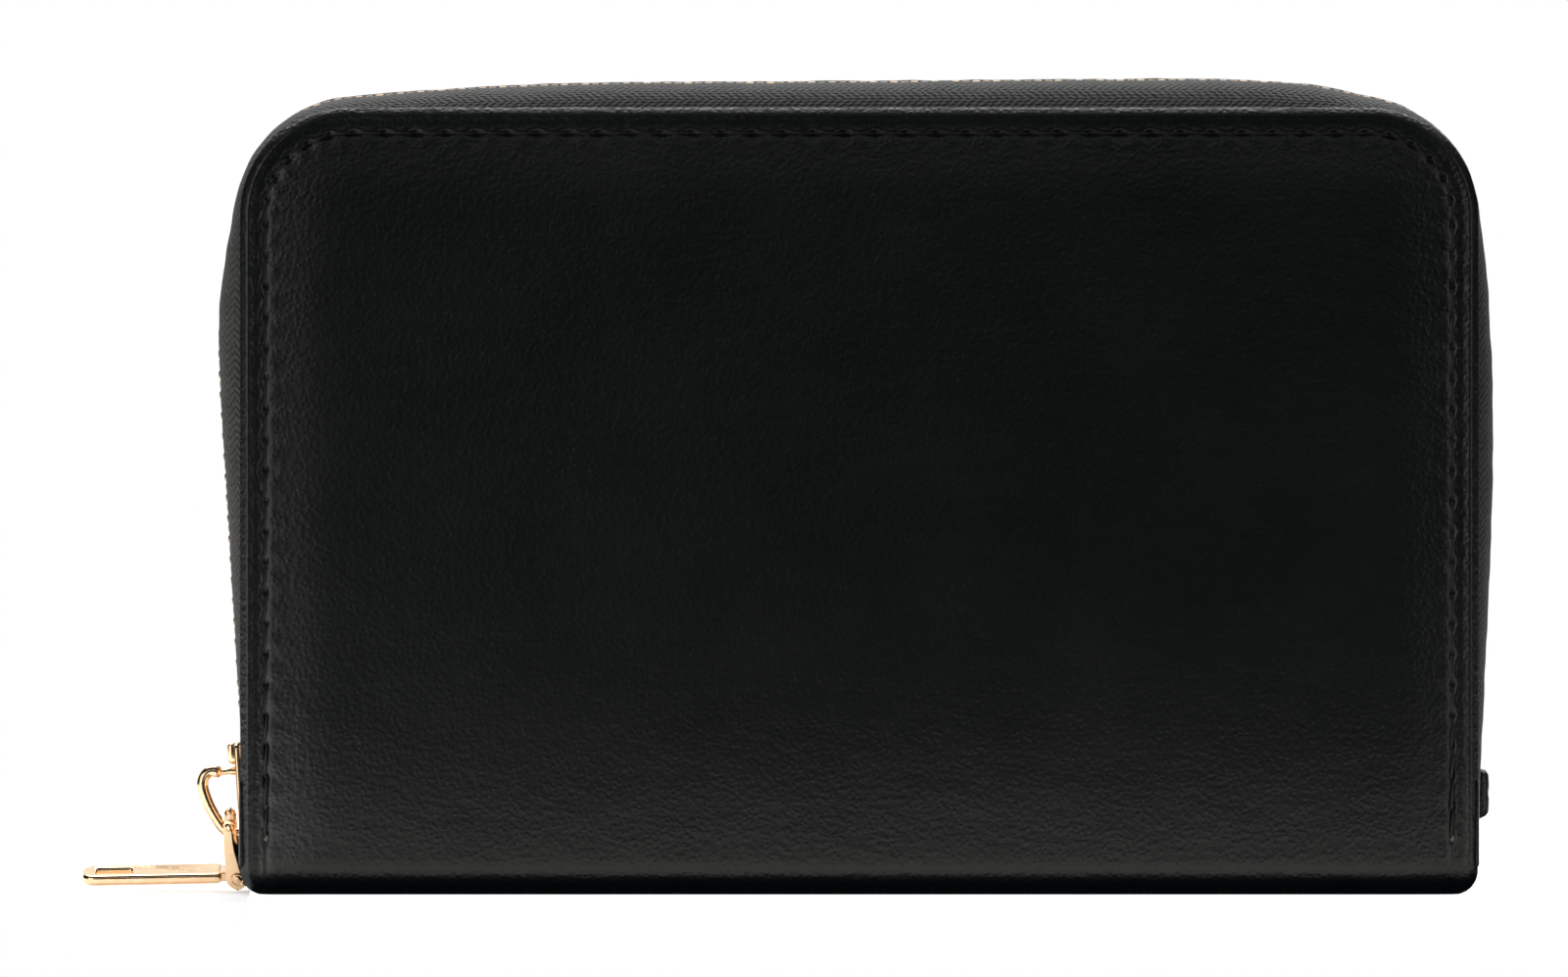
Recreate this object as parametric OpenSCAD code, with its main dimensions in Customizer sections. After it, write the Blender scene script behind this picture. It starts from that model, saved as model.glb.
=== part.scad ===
// Zip around wallet: two stiffened leather covers on a flat spine, closed by one metal zip that runs up the
// left side, over the top and down the right side, with a zipped coin pocket as the middle divider.
// The origin is the centre of the spine's flat underside; +Z is up and the front cover faces -Y.

/* [Body] */
// Width of the covers along X
wallet_w = 150; // [140:1:170]
// Height from the underside to the top edge of the covers
wallet_h = 95.6; // [92:0.2:104]
// Thickness over the crowned faces of both covers
wallet_t = 26; // [26:0.5:32]
// Radius of the two upper corners
corner_r = 13.2; // [10:0.2:15]
// Radius of the leather where it folds round into the spine
fold_r = 4.5; // [4:0.5:5.5]

/* [Covers] */
// Height of the padded crown over the stitched border
crown_h = 0.5; // [0.3:0.1:0.8]
// Thickness of the cover leather at the stitched border
leather_t = 1; // [0.8:0.1:1.2]
// Thickness of the stiffener board
board_t = 0.8; // [0.6:0.1:1]
// Distance of the stitch line from the cover's edge
stitch_inset = 3.1; // [2.5:0.1:3.5]
// Length of one stitch from hole to hole
stitch_pitch = 3.7; // [3:0.1:4.5]

/* [Main zip] */
// Pitch of the teeth along one row
tooth_pitch = 2.5; // [2.3:0.1:3]
// Width of both rows of teeth together
chain_w = 5.8; // [5.4:0.1:6.2]
// Height of a tooth, square to the tape
tooth_h = 2.2; // [1.8:0.1:2.4]
// Length of the slider's body
slider_len = 11.6; // [10:0.2:12]

/* [Pull] */
// Length of the pull bar from its pin to its tip
pull_len = 18.9; // [14:0.1:24]
// Width of the pull bar
pull_w = 4.5; // [3.5:0.1:5]
// Sideways lean of the loosely hung link and bar
pull_lean = 17; // [0:1:20]

/* [Inside] */
// Thickness of the coin pocket over its two walls
coin_t = 6.6; // [6.4:0.1:7]
// Height of the coin pocket's top edge
coin_top = 70.2; // [60:0.2:72]

/* [Hidden] */
$fn = 48;

black_leather = "#17181a";
black_lining = "#26262b";
black_tape = "#2e3030";
grey_board = "#8a857c";
gold = "#d9b27c";

half_w = wallet_w / 2;
half_t = wallet_t / 2;

// Layers of one cover, as distances from the middle plane, from the outside in
border_y = half_t - crown_h;
board_out = border_y - leather_t;
board_in = board_out - board_t;
tape_t = 0.5;
flange_in = board_in - tape_t;
lining_t = 0.4;
lining_in = flange_in - lining_t;
slip_t = 0.4;
slip_in = lining_in - slip_t;
card_t = 0.45;

spine_half = half_t - fold_r;
spine_end = half_w - 1.5;
spine_t = 1.3;
spine_board_t = 0.7;
spine_corner_r = 3;
cover_z = fold_r;
edge_w = 1;
ridge_h = 0.3;
crown_inset = 4.2;
lining_inset = 2.2;

// The zip's path: the covers' outline, followed up the left side, over the top and down the right side
path_z = 5;
side_len = wallet_h - corner_r - path_z;
corner_len = corner_r * PI / 2;
top_len = wallet_w - 2 * corner_r;
left_corner = side_len;
top_start = left_corner + corner_len;
top_end = top_start + top_len;
right_corner = top_end + corner_len;
tape_end = right_corner + side_len - 0.5;
teeth_end = right_corner + wallet_h - corner_r - 18.4;

// How far the tips of the teeth stand out from the covers' outline: [distance along it, stand-out, slope].
// The first stretch is straight, because the slider runs on it.
run_len = side_len - 22;
run_slope = 0.06;
run_start = -0.7;
run_end = run_start + run_len * run_slope;
STAND_OUT = [
    [0, run_start, run_slope],
    [run_len, run_end, run_slope],
    [run_len + 11, run_end, -0.06],
    [left_corner + 2, 0.75, -0.1],
    [left_corner + corner_len / 2, 0.6, 0],
    [top_start, 1, 0.09],
    [top_start + 0.13 * top_len, 2.2, 0.05],
    [top_start + 0.5 * top_len, 2.9, 0.008],
    [top_start + 0.82 * top_len, 3.15, 0],
    [top_end - 0.06 * top_len, 2.5, -0.11],
    [top_end + 1.5, 0.85, -0.13],
    [top_end + corner_len / 2, 0.15, -0.02],
    [right_corner - 2, 0.1, 0.05],
    [right_corner + 7, 1.1, 0.08],
    [right_corner + 20, 1.85, 0.02],
    [right_corner + 33, 1.85, -0.02],
    [tape_end - 15, 0.7, -0.04],
    [tape_end + 1, -0.2, -0.06]
];

row_gap = 0.5;
tooth_w = 0.95;
teeth_start = 14.2;
tape_edge = chain_w / 2 + 0.05;

// The slider's middle, on the line of the teeth's tips
slider_s = 7.4;
slider_tilt = atan(run_slope);
slider_gap = 0.12;
plate_t = 0.7;
slot_w = 1.1;

// Pivots of the pull, in the XZ plane of the slider
link_x = -half_w - 1.45;
link_z = 8.8;
link_drop = 6.9;
link_in = 0.95;
crossbar_r = 0.5;
pin_r = 0.6;
fork_in = 1.55;
fork_out = 2.45;
bar_t = 1.3;
bar_droop = 1.2;

card_w = 94;
slip_w = 134;
gusset_t = 0.5;
coin_half_w = 66;
coin_wall_t = 0.5;
coin_half_t = coin_t / 2;
coin_z = spine_t + spine_board_t;
coin_pitch = 2.2;
coin_tooth_h = 1.6;
coin_chain_z = coin_top + 0.2;
coin_slider_x = -54;
coin_slider_len = 8;
coin_pull_len = 14.5;

// ---- Curves ----

// Blend between two values with given slopes, t from 0 to 1 over a length d
function hermite(a, sa, b, sb, d, t) =
    a * (1 + 2 * t) * (1 - t) * (1 - t) + b * t * t * (3 - 2 * t)
    + d * (sa * t * (1 - t) * (1 - t) - sb * t * t * (1 - t));

function key_below(s, i = 0) =
    i + 2 < len(STAND_OUT) && s >= STAND_OUT[i + 1][0] ? key_below(s, i + 1) : i;

function between(a, b, s) = hermite(a[1], a[2], b[1], b[2], b[0] - a[0], (s - a[0]) / (b[0] - a[0]));

function stand_out(s) = let(i = key_below(s)) between(STAND_OUT[i], STAND_OUT[i + 1], s);

// Outward direction of the covers' outline, as an angle from +X towards +Z
function facing(s) =
    s < left_corner ? 180
    : s < top_start ? 180 - 90 * (s - left_corner) / corner_len
    : s < top_end ? 90
    : s < right_corner ? 90 - 90 * (s - top_end) / corner_len
    : 0;

function outline(s) =
    s < left_corner ? [-half_w, path_z + s]
    : s < top_start ? [-half_w + corner_r, wallet_h - corner_r] + corner_r * [cos(facing(s)), sin(facing(s))]
    : s < top_end ? [-half_w + corner_r + s - top_start, wallet_h]
    : s < right_corner ? [half_w - corner_r, wallet_h - corner_r] + corner_r * [cos(facing(s)), sin(facing(s))]
    : [half_w, wallet_h - corner_r - (s - right_corner)];

// A point this far outside the outline
function outside(s, off) = outline(s) + off * [cos(facing(s)), sin(facing(s))];

function tips(s) = outside(s, stand_out(s));

// Direction of the line of the teeth's tips
function heading(s) = let(d = tips(s + 0.2) - tips(s - 0.2)) atan2(d[1], d[0]);

// Places along the path, closer together round the corners
function spread(a, b, step) = let(n = ceil((b - a) / step)) [for (i = [0 : n - 1]) a + (b - a) * i / n];

STATIONS = concat(
    spread(0, left_corner, 4),
    spread(left_corner, top_start, 1.7),
    spread(top_start, top_end, 4),
    spread(top_end, right_corner, 1.7),
    spread(right_corner, tape_end, 4),
    [tape_end]
);

function unit(v) = v / norm(v);
function left_of(v) = [-v[1], v[0]];

// Outline of a strip of thickness t that follows the points of a line
function strip(line, t) =
    let(
        last = len(line) - 1,
        before = [for (i = [0 : last]) i == 0 ? [0, 0] : unit(line[i] - line[i - 1])],
        after = [for (i = [0 : last]) i == last ? [0, 0] : unit(line[i + 1] - line[i])],
        across = [for (i = [0 : last]) left_of(unit(before[i] + after[i]))]
    )
    concat(
        [for (i = [0 : last]) line[i] - across[i] * t / 2],
        [for (i = [last : -1 : 0]) line[i] + across[i] * t / 2]
    );

// Solid through a list of rings that all have the same number of points
module loft(rings) {
    n = len(rings[0]);
    m = len(rings);
    points = [for (ring = rings) each ring];
    sides = [for (j = [0 : m - 2], i = [0 : n - 1])
        [j * n + i, j * n + (i + 1) % n, (j + 1) * n + (i + 1) % n, (j + 1) * n + i]];
    caps = [[for (i = [n - 1 : -1 : 0]) i], [for (i = [0 : n - 1]) (m - 1) * n + i]];
    polyhedron(points, concat(sides, caps), convexity = 10);
}

// ---- Outlines and layers ----

// A flat piece drawn in the XZ plane, from one distance off the middle plane to another on the front side
module layer(near, far) {
    translate([0, -near, 0]) rotate([90, 0, 0]) linear_extrude(far - near) children();
}

module other_side() {
    mirror([0, 1, 0]) children();
}

// The cover's outline, drawn in by an inset on the left, top and right
module cover_shape(inset, low) {
    r = corner_r - inset;
    w = half_w - inset;
    top = wallet_h - inset;
    translate([-w, low]) square([2 * w, top - r - low]);
    translate([-w + r, low]) square([2 * (w - r), top - low]);
    for (x = [-w + r, w - r]) translate([x, top - r]) circle(r, $fn = 96);
}

module rounded_rect(w, low, top, r) {
    translate([-w + r, low]) square([2 * (w - r), top - low]);
    translate([-w, low + r]) square([2 * w, top - low - 2 * r]);
    for (x = [-w + r, w - r], z = [low + r, top - r]) translate([x, z]) circle(r);
}

// ---- Pieces of one cover, drawn for the front ----

module cover_leather() {
    color(black_leather) {
        layer(board_out, border_y) cover_shape(0, cover_z);
        layer(border_y, half_t) cover_shape(crown_inset, cover_z);
        layer(border_y, border_y + ridge_h) difference() {
            cover_shape(0, cover_z);
            cover_shape(edge_w, cover_z - 1);
        }
        layer(board_in, board_out) difference() {
            cover_shape(0, cover_z);
            cover_shape(edge_w, cover_z - 1);
        }
    }
}

module board() {
    color(grey_board) layer(board_in, board_out) cover_shape(edge_w + 0.05, cover_z + 0.5);
}

module lining() {
    flange_end = 7.3;
    color(black_lining) {
        layer(lining_in, flange_in) cover_shape(lining_inset, cover_z + 0.5);
        layer(flange_in, board_in) cover_shape(flange_end, cover_z + 0.5);
    }
}

module stitching() {
    length = stitch_pitch - 0.9;
    first = 2;
    last = right_corner + wallet_h - corner_r - path_z - 2;
    count = floor((last - first) / stitch_pitch);
    color(black_leather) for (i = [0 : count - 1]) {
        s = first + (i + 0.5) * (last - first) / count;
        at = outside(s, -stitch_inset);
        translate([at[0], -border_y - 0.125, at[1]])
            rotate([0, 90 - facing(s), 0])
                cube([length, 0.25, 0.5], center = true);
    }
}

// Cross-section of the tape at s: [distance from the middle plane, distance outside the outline]
function tape_line(s) =
    let(edge = stand_out(s) - tooth_h / 2, crest = stand_out(s) - 0.4, bench = (board_in + flange_in) / 2)
    [
        [tape_edge, edge],
        [4.75, edge],
        [5.95, crest],
        [8.2, 0.75 * crest - 0.25],
        [bench - 0.55, 0.3 * crest - 1],
        [bench, -1.7],
        [bench, -7]
    ];

module zip_tape() {
    rings = [for (s = STATIONS)
        [for (p = strip(tape_line(s), tape_t)) let(at = outside(s, p[1])) [at[0], -p[0], at[1]]]];
    color(black_tape) loft(rings);
}

module zip_teeth(first) {
    count = floor((teeth_end - first) / tooth_pitch);
    color(gold) for (i = [0 : count]) {
        s = first + i * tooth_pitch;
        at = tips(s);
        translate([at[0], 0, at[1]])
            rotate([0, -heading(s), 0])
                translate([-tooth_w / 2, -chain_w / 2, -tooth_h])
                    cube([tooth_w, chain_w / 2 - row_gap, tooth_h]);
    }
}

// Flat metal clip on the tape's edge, which the closed slider runs up against
module top_stop() {
    at = tips(0.7);
    color(gold) translate([at[0], 0, at[1]])
        rotate([0, -heading(0.7), 0])
            translate([-0.55, -tape_edge + 0.02, -tooth_h / 2 - 0.3])
                cube([1.1, 1.2, 0.6]);
}

module slip_pocket() {
    color(black_lining) layer(slip_in, lining_in) rounded_rect(slip_w / 2, cover_z + 1, 76, 3);
}

// One card slot, the first against the slip pocket and the tallest
module card_slot(number) {
    near = slip_in - number * card_t;
    top = 64 - (number - 1) * 9;
    color(black_lining) layer(near, near + card_t) rounded_rect(card_w / 2, cover_z + 1.5, top, 1.5);
}

// ---- Spine and folds ----

module spine_leather() {
    color(black_leather) layer(-spine_half, spine_half) intersection() {
        rounded_rect(spine_end, 0, 20, spine_corner_r);
        translate([-spine_end, 0]) square([2 * spine_end, spine_t]);
    }
}

module spine_board() {
    half = spine_end - 3.5;
    color(grey_board) layer(0.5 - spine_half, spine_half - 0.5)
        translate([-half, spine_t]) square([2 * half, spine_board_t]);
}

// Quarter round of leather between the spine and the front cover
module fold() {
    color(black_leather) intersection() {
        difference() {
            translate([-half_w, -spine_half, fold_r]) rotate([0, 90, 0]) cylinder(wallet_w, r = fold_r);
            translate([-half_w - 1, -spine_half, fold_r]) rotate([0, 90, 0])
                cylinder(wallet_w + 2, r = fold_r - spine_t);
        }
        translate([-half_w, -half_t, 0]) cube([wallet_w, fold_r, fold_r]);
        layer(spine_half, half_t) rounded_rect(half_w, 0, 20, spine_corner_r);
    }
}

// Small leather tab on the spine that the lower ends of both tapes are tucked under
module zip_end_tab() {
    low = 8.5;
    top = 15.6;
    half = 2.8;
    in = half_w - 3.4;
    color(black_leather) layer(-half, half) {
        translate([in, low]) square([3.1, top - low]);
        translate([in + 3.1, (low + top) / 2]) scale([0.45, 1]) circle((top - low) / 2);
        translate([in, spine_t]) square([0.8, low - spine_t]);
    }
}

module zip_bottom_stop() {
    color(gold) translate([half_w - 2.4, -1.7, 15.75]) cube([2.6, 3.4, 1.3]);
}

// A leaf of folded cloth in plan, from one fold line to the next
module leaf(a, b) {
    d = b - a;
    translate(a) rotate(atan2(d[1], d[0])) translate([0, -gusset_t / 2]) square([norm(d), gusset_t]);
    translate(b) circle(gusset_t / 2);
}

// Side gusset folded like an accordion between the coin pocket and the front cover, on the right
module gusset() {
    out = 67;
    tab = 56;
    deep = 50;
    near = coin_half_t + 0.05 + gusset_t / 2;
    far = slip_in - 0.05 - gusset_t / 2;
    step = (far - near) / 4;
    line = [
        [tab, -near],
        [out, -near],
        [deep, -near - step],
        [out, -near - 2 * step],
        [deep, -near - 3 * step],
        [out, -far],
        [tab, -far]
    ];
    color(black_lining) translate([0, 0, 7]) linear_extrude(coin_top - 7)
        for (i = [0 : len(line) - 2]) leaf(line[i], line[i + 1]);
}

// ---- Coin pocket ----

module coin_wall() {
    color(black_lining) layer(coin_half_t - coin_wall_t, coin_half_t)
        translate([-coin_half_w, coin_z]) square([2 * coin_half_w, coin_top - coin_z]);
}

module coin_base() {
    half = coin_half_t - coin_wall_t;
    color(black_lining) translate([-coin_half_w, -half, coin_z]) cube([2 * coin_half_w, 2 * half, 0.5]);
}

module coin_side() {
    half = coin_half_t - coin_wall_t;
    color(black_lining) translate([coin_half_w - 0.5, -half, coin_z + 0.5])
        cube([0.5, 2 * half, coin_top - 6.5 - coin_z]);
}

// Tape of the coin pocket's zip: it stands inside the wall and turns in over its top edge
module coin_tape() {
    half = coin_half_w - 1;
    inner = coin_half_t - coin_wall_t;
    color(black_tape) {
        translate([-half, -inner, coin_top - 5.5]) cube([2 * half, 0.35, 5.5]);
        translate([-half, -coin_half_t, coin_top]) cube([2 * half, coin_half_t - 2.1, 0.4]);
    }
}

module coin_teeth(first) {
    count = floor(2 * (coin_half_w - 5) / coin_pitch);
    color(gold) for (i = [0 : count - 1])
        translate([first + i * coin_pitch, -2.05, coin_chain_z - coin_tooth_h / 2])
            cube([0.85, 1.65, coin_tooth_h]);
}

module coin_end_stops() {
    color(gold) for (x = [-coin_half_w + 2, coin_half_w - 3.2])
        translate([x, -2, coin_chain_z - 0.6]) cube([1.2, 4, 1.2]);
}

// ---- Sliders ----

// Slider drawn along X with the tape in the XY plane. wide and narrow are its half widths, chain the half
// width of its channel, high and low the channel's top and bottom, slot the thickness of the tape slot
module slider_shell(length, wide, narrow, chain, high, low, slot, under) {
    half = length / 2;
    plan = [[-half, narrow], [half - 3, wide], [half, wide - 1], [half, 1 - wide], [half - 3, -wide], [-half, -narrow]];
    difference() {
        union() {
            translate([0, 0, slot / 2]) linear_extrude(high + plate_t - slot / 2) polygon(plan);
            intersection() {
                translate([0, 0, low - plate_t]) linear_extrude(plate_t - low - slot / 2) polygon(plan);
                translate([-half, -under, low - plate_t]) cube([length, 2 * under, plate_t - low]);
            }
        }
        translate([-half - 1, -chain, low]) cube([length + 2, 2 * chain, high - low]);
    }
    translate([half - 5, -row_gap + 0.12, low - 0.1]) cube([3, 2 * row_gap - 0.24, high - low + 0.2]);
}

// Places a slider on the straight left run: its X axis points down the run and its Z axis outwards
module on_run() {
    at = tips(slider_s);
    translate([at[0], 0, at[1]]) rotate([0, -90 - slider_tilt, 0]) rotate([0, 0, 180])
        translate([0, 0, -tooth_h / 2]) children();
}

module slider_body() {
    half_tooth = tooth_h / 2 + slider_gap;
    nose = slider_len / 2;
    color(gold) on_run() {
        slider_shell(slider_len, 4.6, 3.9, chain_w / 2 + 0.3, half_tooth, -half_tooth, slot_w, 4.6);
        translate([-nose, -1.1, half_tooth + 0.1]) cube([2.6, 2.2, plate_t + 0.25]);
        translate([3.2 - nose, -0.35, half_tooth + 0.1]) cube([0.7, 0.7, plate_t + 2]);
    }
}

// Open hook of round wire that carries the link
module slider_bridge() {
    wire = 1.2;
    ring = 12;
    x = -half_w;
    line = [
        [x - 3.1, 14.6], [x - 3.9, 14.6], [x - 4.5, 14.1], [x - 4.75, 13.3], [x - 4.65, 12.3],
        [x - 4, 10.5], [x - 3.1, 8.9], [x - 2.3, 7.8], [x - 1.4, 7.2], [x - 0.2, 7.1]
    ];
    last = len(line) - 1;
    rings = [for (i = [0 : last])
        let(across = left_of(unit(line[min(i + 1, last)] - line[max(i - 1, 0)])))
        [for (a = [0 : ring - 1]) let(c = wire / 2 * cos(a * 360 / ring), h = wire / 2 * sin(a * 360 / ring))
            [line[i][0] + across[0] * c, h, line[i][1] + across[1] * c]]];
    color(gold) loft(rings);
}

// The link's own frame: origin on its crossbar, leaning sideways as it hangs
module on_link() {
    translate([link_x, 0, link_z]) rotate([pull_lean, 0, 0]) children();
}

module link_arm() {
    arm_r = 0.75;
    foot_r = 1.45;
    difference() {
        union() {
            circle(arm_r);
            translate([link_in, -link_drop]) circle(foot_r);
            polygon([
                [-arm_r, 0], [arm_r, 0], [arm_r + 0.35, -3.4], [link_in + foot_r - 0.6, -link_drop + 1.2],
                [link_in, -link_drop], [link_in - foot_r, -link_drop]
            ]);
        }
        translate([link_in, -link_drop]) circle(pin_r + 0.01);
    }
}

module pull_link() {
    color(gold) on_link() {
        layer(fork_in, fork_out) link_arm();
        layer(-fork_out, -fork_in) link_arm();
        rotate([90, 0, 0]) cylinder(2 * fork_out - 0.2, r = crossbar_r, center = true);
    }
}

module pull_pin() {
    head_r = 0.85;
    head_t = 0.25;
    color(gold) on_link() translate([link_in, 0, -link_drop]) rotate([90, 0, 0]) {
        cylinder(2 * fork_out, r = pin_r, center = true);
        for (z = [-fork_out - head_t, fork_out]) translate([0, 0, z]) cylinder(head_t, r = head_r);
    }
}

module pull_bar() {
    eye_r = 1.2;
    eye_half = fork_in - 0.1;
    neck = 2.6;
    tip_r = 1.6;
    slot_l = 4.3;
    slot_half = 0.95;
    half = pull_w / 2;
    color(gold) on_link() translate([link_in, 0, -link_drop]) rotate([0, -bar_droop, 0]) difference() {
        union() {
            rotate([90, 0, 0]) cylinder(2 * eye_half, r = eye_r, center = true);
            translate([-neck - 0.5, -eye_half, -bar_t / 2]) cube([neck + 0.5, 2 * eye_half, bar_t]);
            translate([-pull_len + tip_r, -half, -bar_t / 2]) cube([pull_len - tip_r - neck, pull_w, bar_t]);
            translate([-pull_len, -half + tip_r, -bar_t / 2]) cube([tip_r + 1, pull_w - 2 * tip_r, bar_t]);
            for (y = [tip_r - half, half - tip_r])
                translate([-pull_len + tip_r, y, -bar_t / 2]) cylinder(bar_t, r = tip_r);
        }
        rotate([90, 0, 0]) cylinder(2 * fork_out, r = pin_r + 0.06, center = true);
        translate([-pull_len + 1.7, -slot_half, -bar_t]) cube([slot_l, 2 * slot_half, 2 * bar_t]);
    }
}

// The coin pocket's slider, along X with its lug standing up
module coin_slider() {
    high = coin_tooth_h / 2 + 0.1;
    lug_z = high + plate_t + 1.1;
    color(gold) translate([coin_slider_x, 0, coin_chain_z]) {
        slider_shell(coin_slider_len, 3.4, 3, 2.2, high, -high, 0.8, 2.4);
        difference() {
            translate([-1.4, -0.5, high + 0.1]) cube([2.8, 1, lug_z + 1.1 - high]);
            translate([0, 0, lug_z]) rotate([90, 0, 0]) cylinder(4, r = 0.57, center = true);
        }
    }
}

module coin_pull() {
    pivot_z = coin_chain_z + coin_tooth_h / 2 + 0.1 + plate_t + 1.1;
    arm_out = 1.6;
    color(gold) translate([coin_slider_x, 0, pivot_z]) {
        rotate([90, 0, 0]) cylinder(2 * arm_out, r = 0.5, center = true);
        for (y = [-arm_out, arm_out - 0.8]) translate([-0.6, y, -0.45]) cube([3.6, 0.8, 0.9]);
        translate([3, -arm_out, -0.45]) cube([coin_pull_len - 4.6, 2 * arm_out, 0.9]);
        translate([coin_pull_len - 1.6, 0, -0.45]) cylinder(0.9, r = 1.6);
    }
}

spine_leather();
spine_board();
fold();  // front_fold
other_side() fold();  // back_fold
zip_end_tab();
zip_bottom_stop();
mirror([1, 0, 0]) gusset();  // front_gusset_left
gusset();  // front_gusset_right
other_side() mirror([1, 0, 0]) gusset();  // back_gusset_left
other_side() gusset();  // back_gusset_right
coin_wall();  // coin_front_wall
other_side() coin_wall();  // coin_back_wall
coin_base();
mirror([1, 0, 0]) coin_side();  // coin_side_left
coin_side();  // coin_side_right
coin_tape();  // coin_front_tape
other_side() coin_tape();  // coin_back_tape
coin_teeth(-coin_half_w + 5);  // coin_front_teeth
other_side() coin_teeth(-coin_half_w + 5 + coin_pitch / 2);  // coin_back_teeth
coin_end_stops();
coin_slider();
coin_pull();
cover_leather();  // front_cover_leather
board();  // front_board
lining();  // front_lining
stitching();  // front_stitching
zip_tape();  // front_zip_tape
zip_teeth(teeth_start + 1.5 * tooth_pitch);  // front_zip_teeth
top_stop();  // front_top_stop
slip_pocket();  // front_slip_pocket
card_slot(1);  // front_card_slot_1
card_slot(2);  // front_card_slot_2
card_slot(3);  // front_card_slot_3
card_slot(4);  // front_card_slot_4
other_side() cover_leather();  // back_cover_leather
other_side() board();  // back_board
other_side() lining();  // back_lining
other_side() stitching();  // back_stitching
other_side() zip_tape();  // back_zip_tape
other_side() zip_teeth(teeth_start);  // back_zip_teeth
other_side() top_stop();  // back_top_stop
other_side() slip_pocket();  // back_slip_pocket
other_side() card_slot(1);  // back_card_slot_1
other_side() card_slot(2);  // back_card_slot_2
other_side() card_slot(3);  // back_card_slot_3
other_side() card_slot(4);  // back_card_slot_4
slider_body();
slider_bridge();
pull_link();
pull_pin();
pull_bar();
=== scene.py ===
import math

import bmesh
import bpy
from mathutils import Matrix, Vector, noise
from mathutils.geometry import tessellate_polygon


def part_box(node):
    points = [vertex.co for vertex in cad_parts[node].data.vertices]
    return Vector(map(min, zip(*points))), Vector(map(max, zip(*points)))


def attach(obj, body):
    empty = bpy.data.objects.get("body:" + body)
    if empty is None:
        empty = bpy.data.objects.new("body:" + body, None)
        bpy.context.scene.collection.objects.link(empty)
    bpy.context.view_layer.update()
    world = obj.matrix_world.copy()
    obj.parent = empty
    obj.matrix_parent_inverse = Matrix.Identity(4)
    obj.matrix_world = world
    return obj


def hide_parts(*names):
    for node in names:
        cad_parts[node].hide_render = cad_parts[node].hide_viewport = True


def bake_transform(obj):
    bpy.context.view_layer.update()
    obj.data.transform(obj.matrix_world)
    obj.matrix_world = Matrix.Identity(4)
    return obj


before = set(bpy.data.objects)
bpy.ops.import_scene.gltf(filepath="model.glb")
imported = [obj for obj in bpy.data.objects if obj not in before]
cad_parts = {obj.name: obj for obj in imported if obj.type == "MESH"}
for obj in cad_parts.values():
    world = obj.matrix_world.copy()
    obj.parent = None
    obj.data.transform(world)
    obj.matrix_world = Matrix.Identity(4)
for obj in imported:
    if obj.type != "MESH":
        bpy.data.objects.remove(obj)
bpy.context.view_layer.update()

# ---- The room ----
# The wallet stands on its spine in a white room, seen square on from a long way off. Wide soft boxes hang
# above, stand behind and at both sides; a faint strip hangs high in front and another lies at the foot of the
# front cover, and all else that the cover faces is dark. White table top lies under the pull and behind.
MM = 0.001
scene = bpy.context.scene
scene.view_settings.view_transform = "Standard"

cover_low, cover_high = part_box("front_cover_leather")
half_w = cover_high.x / MM
top_z = cover_high.z / MM
half_t = -cover_low.y / MM

camera_away = 4000
view_wide = 189.9
view_centre = (-9.1, -half_t, 49.4)
view_rise = math.radians(1.6)
camera_data = bpy.data.cameras.new("camera")
camera_data.sensor_width = 36
camera_data.lens = 36 * camera_away / view_wide
camera = bpy.data.objects.new("camera", camera_data)
camera.location = Vector((view_centre[0], view_centre[1] - camera_away * math.cos(view_rise),
                          view_centre[2] + camera_away * math.sin(view_rise))) * MM
camera.rotation_euler = (math.pi / 2 - view_rise, 0, 0)
scene.collection.objects.link(camera)
scene.camera = camera


def soft_box(name, place, size, power, aim=(0, 0, 48), colour=(1, 1, 1)):
    """A rectangular light of this size in millimetres that faces the aim point."""
    data = bpy.data.lights.new(name, "AREA")
    data.shape = "RECTANGLE"
    data.size, data.size_y = size[0] * MM, size[1] * MM
    data.energy = power
    data.color = colour
    lamp = bpy.data.objects.new(name, data)
    lamp.location = Vector(place) * MM
    lamp.rotation_euler = (Vector(aim) - Vector(place)).to_track_quat("-Z", "Y").to_euler()
    lamp.visible_camera = False
    scene.collection.objects.link(lamp)


soft_box("overhead", (0, 300, 700), (1000, 460), 8.5)
soft_box("behind", (0, 620, 260), (1500, 520), 2.6)
soft_box("left_wing", (-620, -560, 150), (560, 520), 1.5, colour=(1, 0.98, 0.9))
soft_box("right_wing", (640, -540, 150), (460, 520), 0.8)
soft_box("high_front", (0, -700, 480), (900, 160), 0.33)
soft_box("low_front", (0, -37, 1), (420, 47), 0.055, aim=(0, -37, 100), colour=(1, 0.98, 0.9))

world = bpy.data.worlds.new("room")
scene.world = world
world.use_nodes = True
sky = world.node_tree
sky.nodes.clear()
sky_out = sky.nodes.new("ShaderNodeOutputWorld")
sky_mix = sky.nodes.new("ShaderNodeMixShader")
sky_path = sky.nodes.new("ShaderNodeLightPath")
for slot, (colour, strength) in enumerate((((0.6, 1.0, 1.3, 1), 0.014), ((1, 1, 1, 1), 1.0)), start=1):
    glow = sky.nodes.new("ShaderNodeBackground")
    glow.inputs["Color"].default_value = colour
    glow.inputs["Strength"].default_value = strength
    sky.links.new(glow.outputs[0], sky_mix.inputs[slot])
sky.links.new(sky_path.outputs["Is Camera Ray"], sky_mix.inputs[0])
sky.links.new(sky_mix.outputs[0], sky_out.inputs["Surface"])


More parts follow.
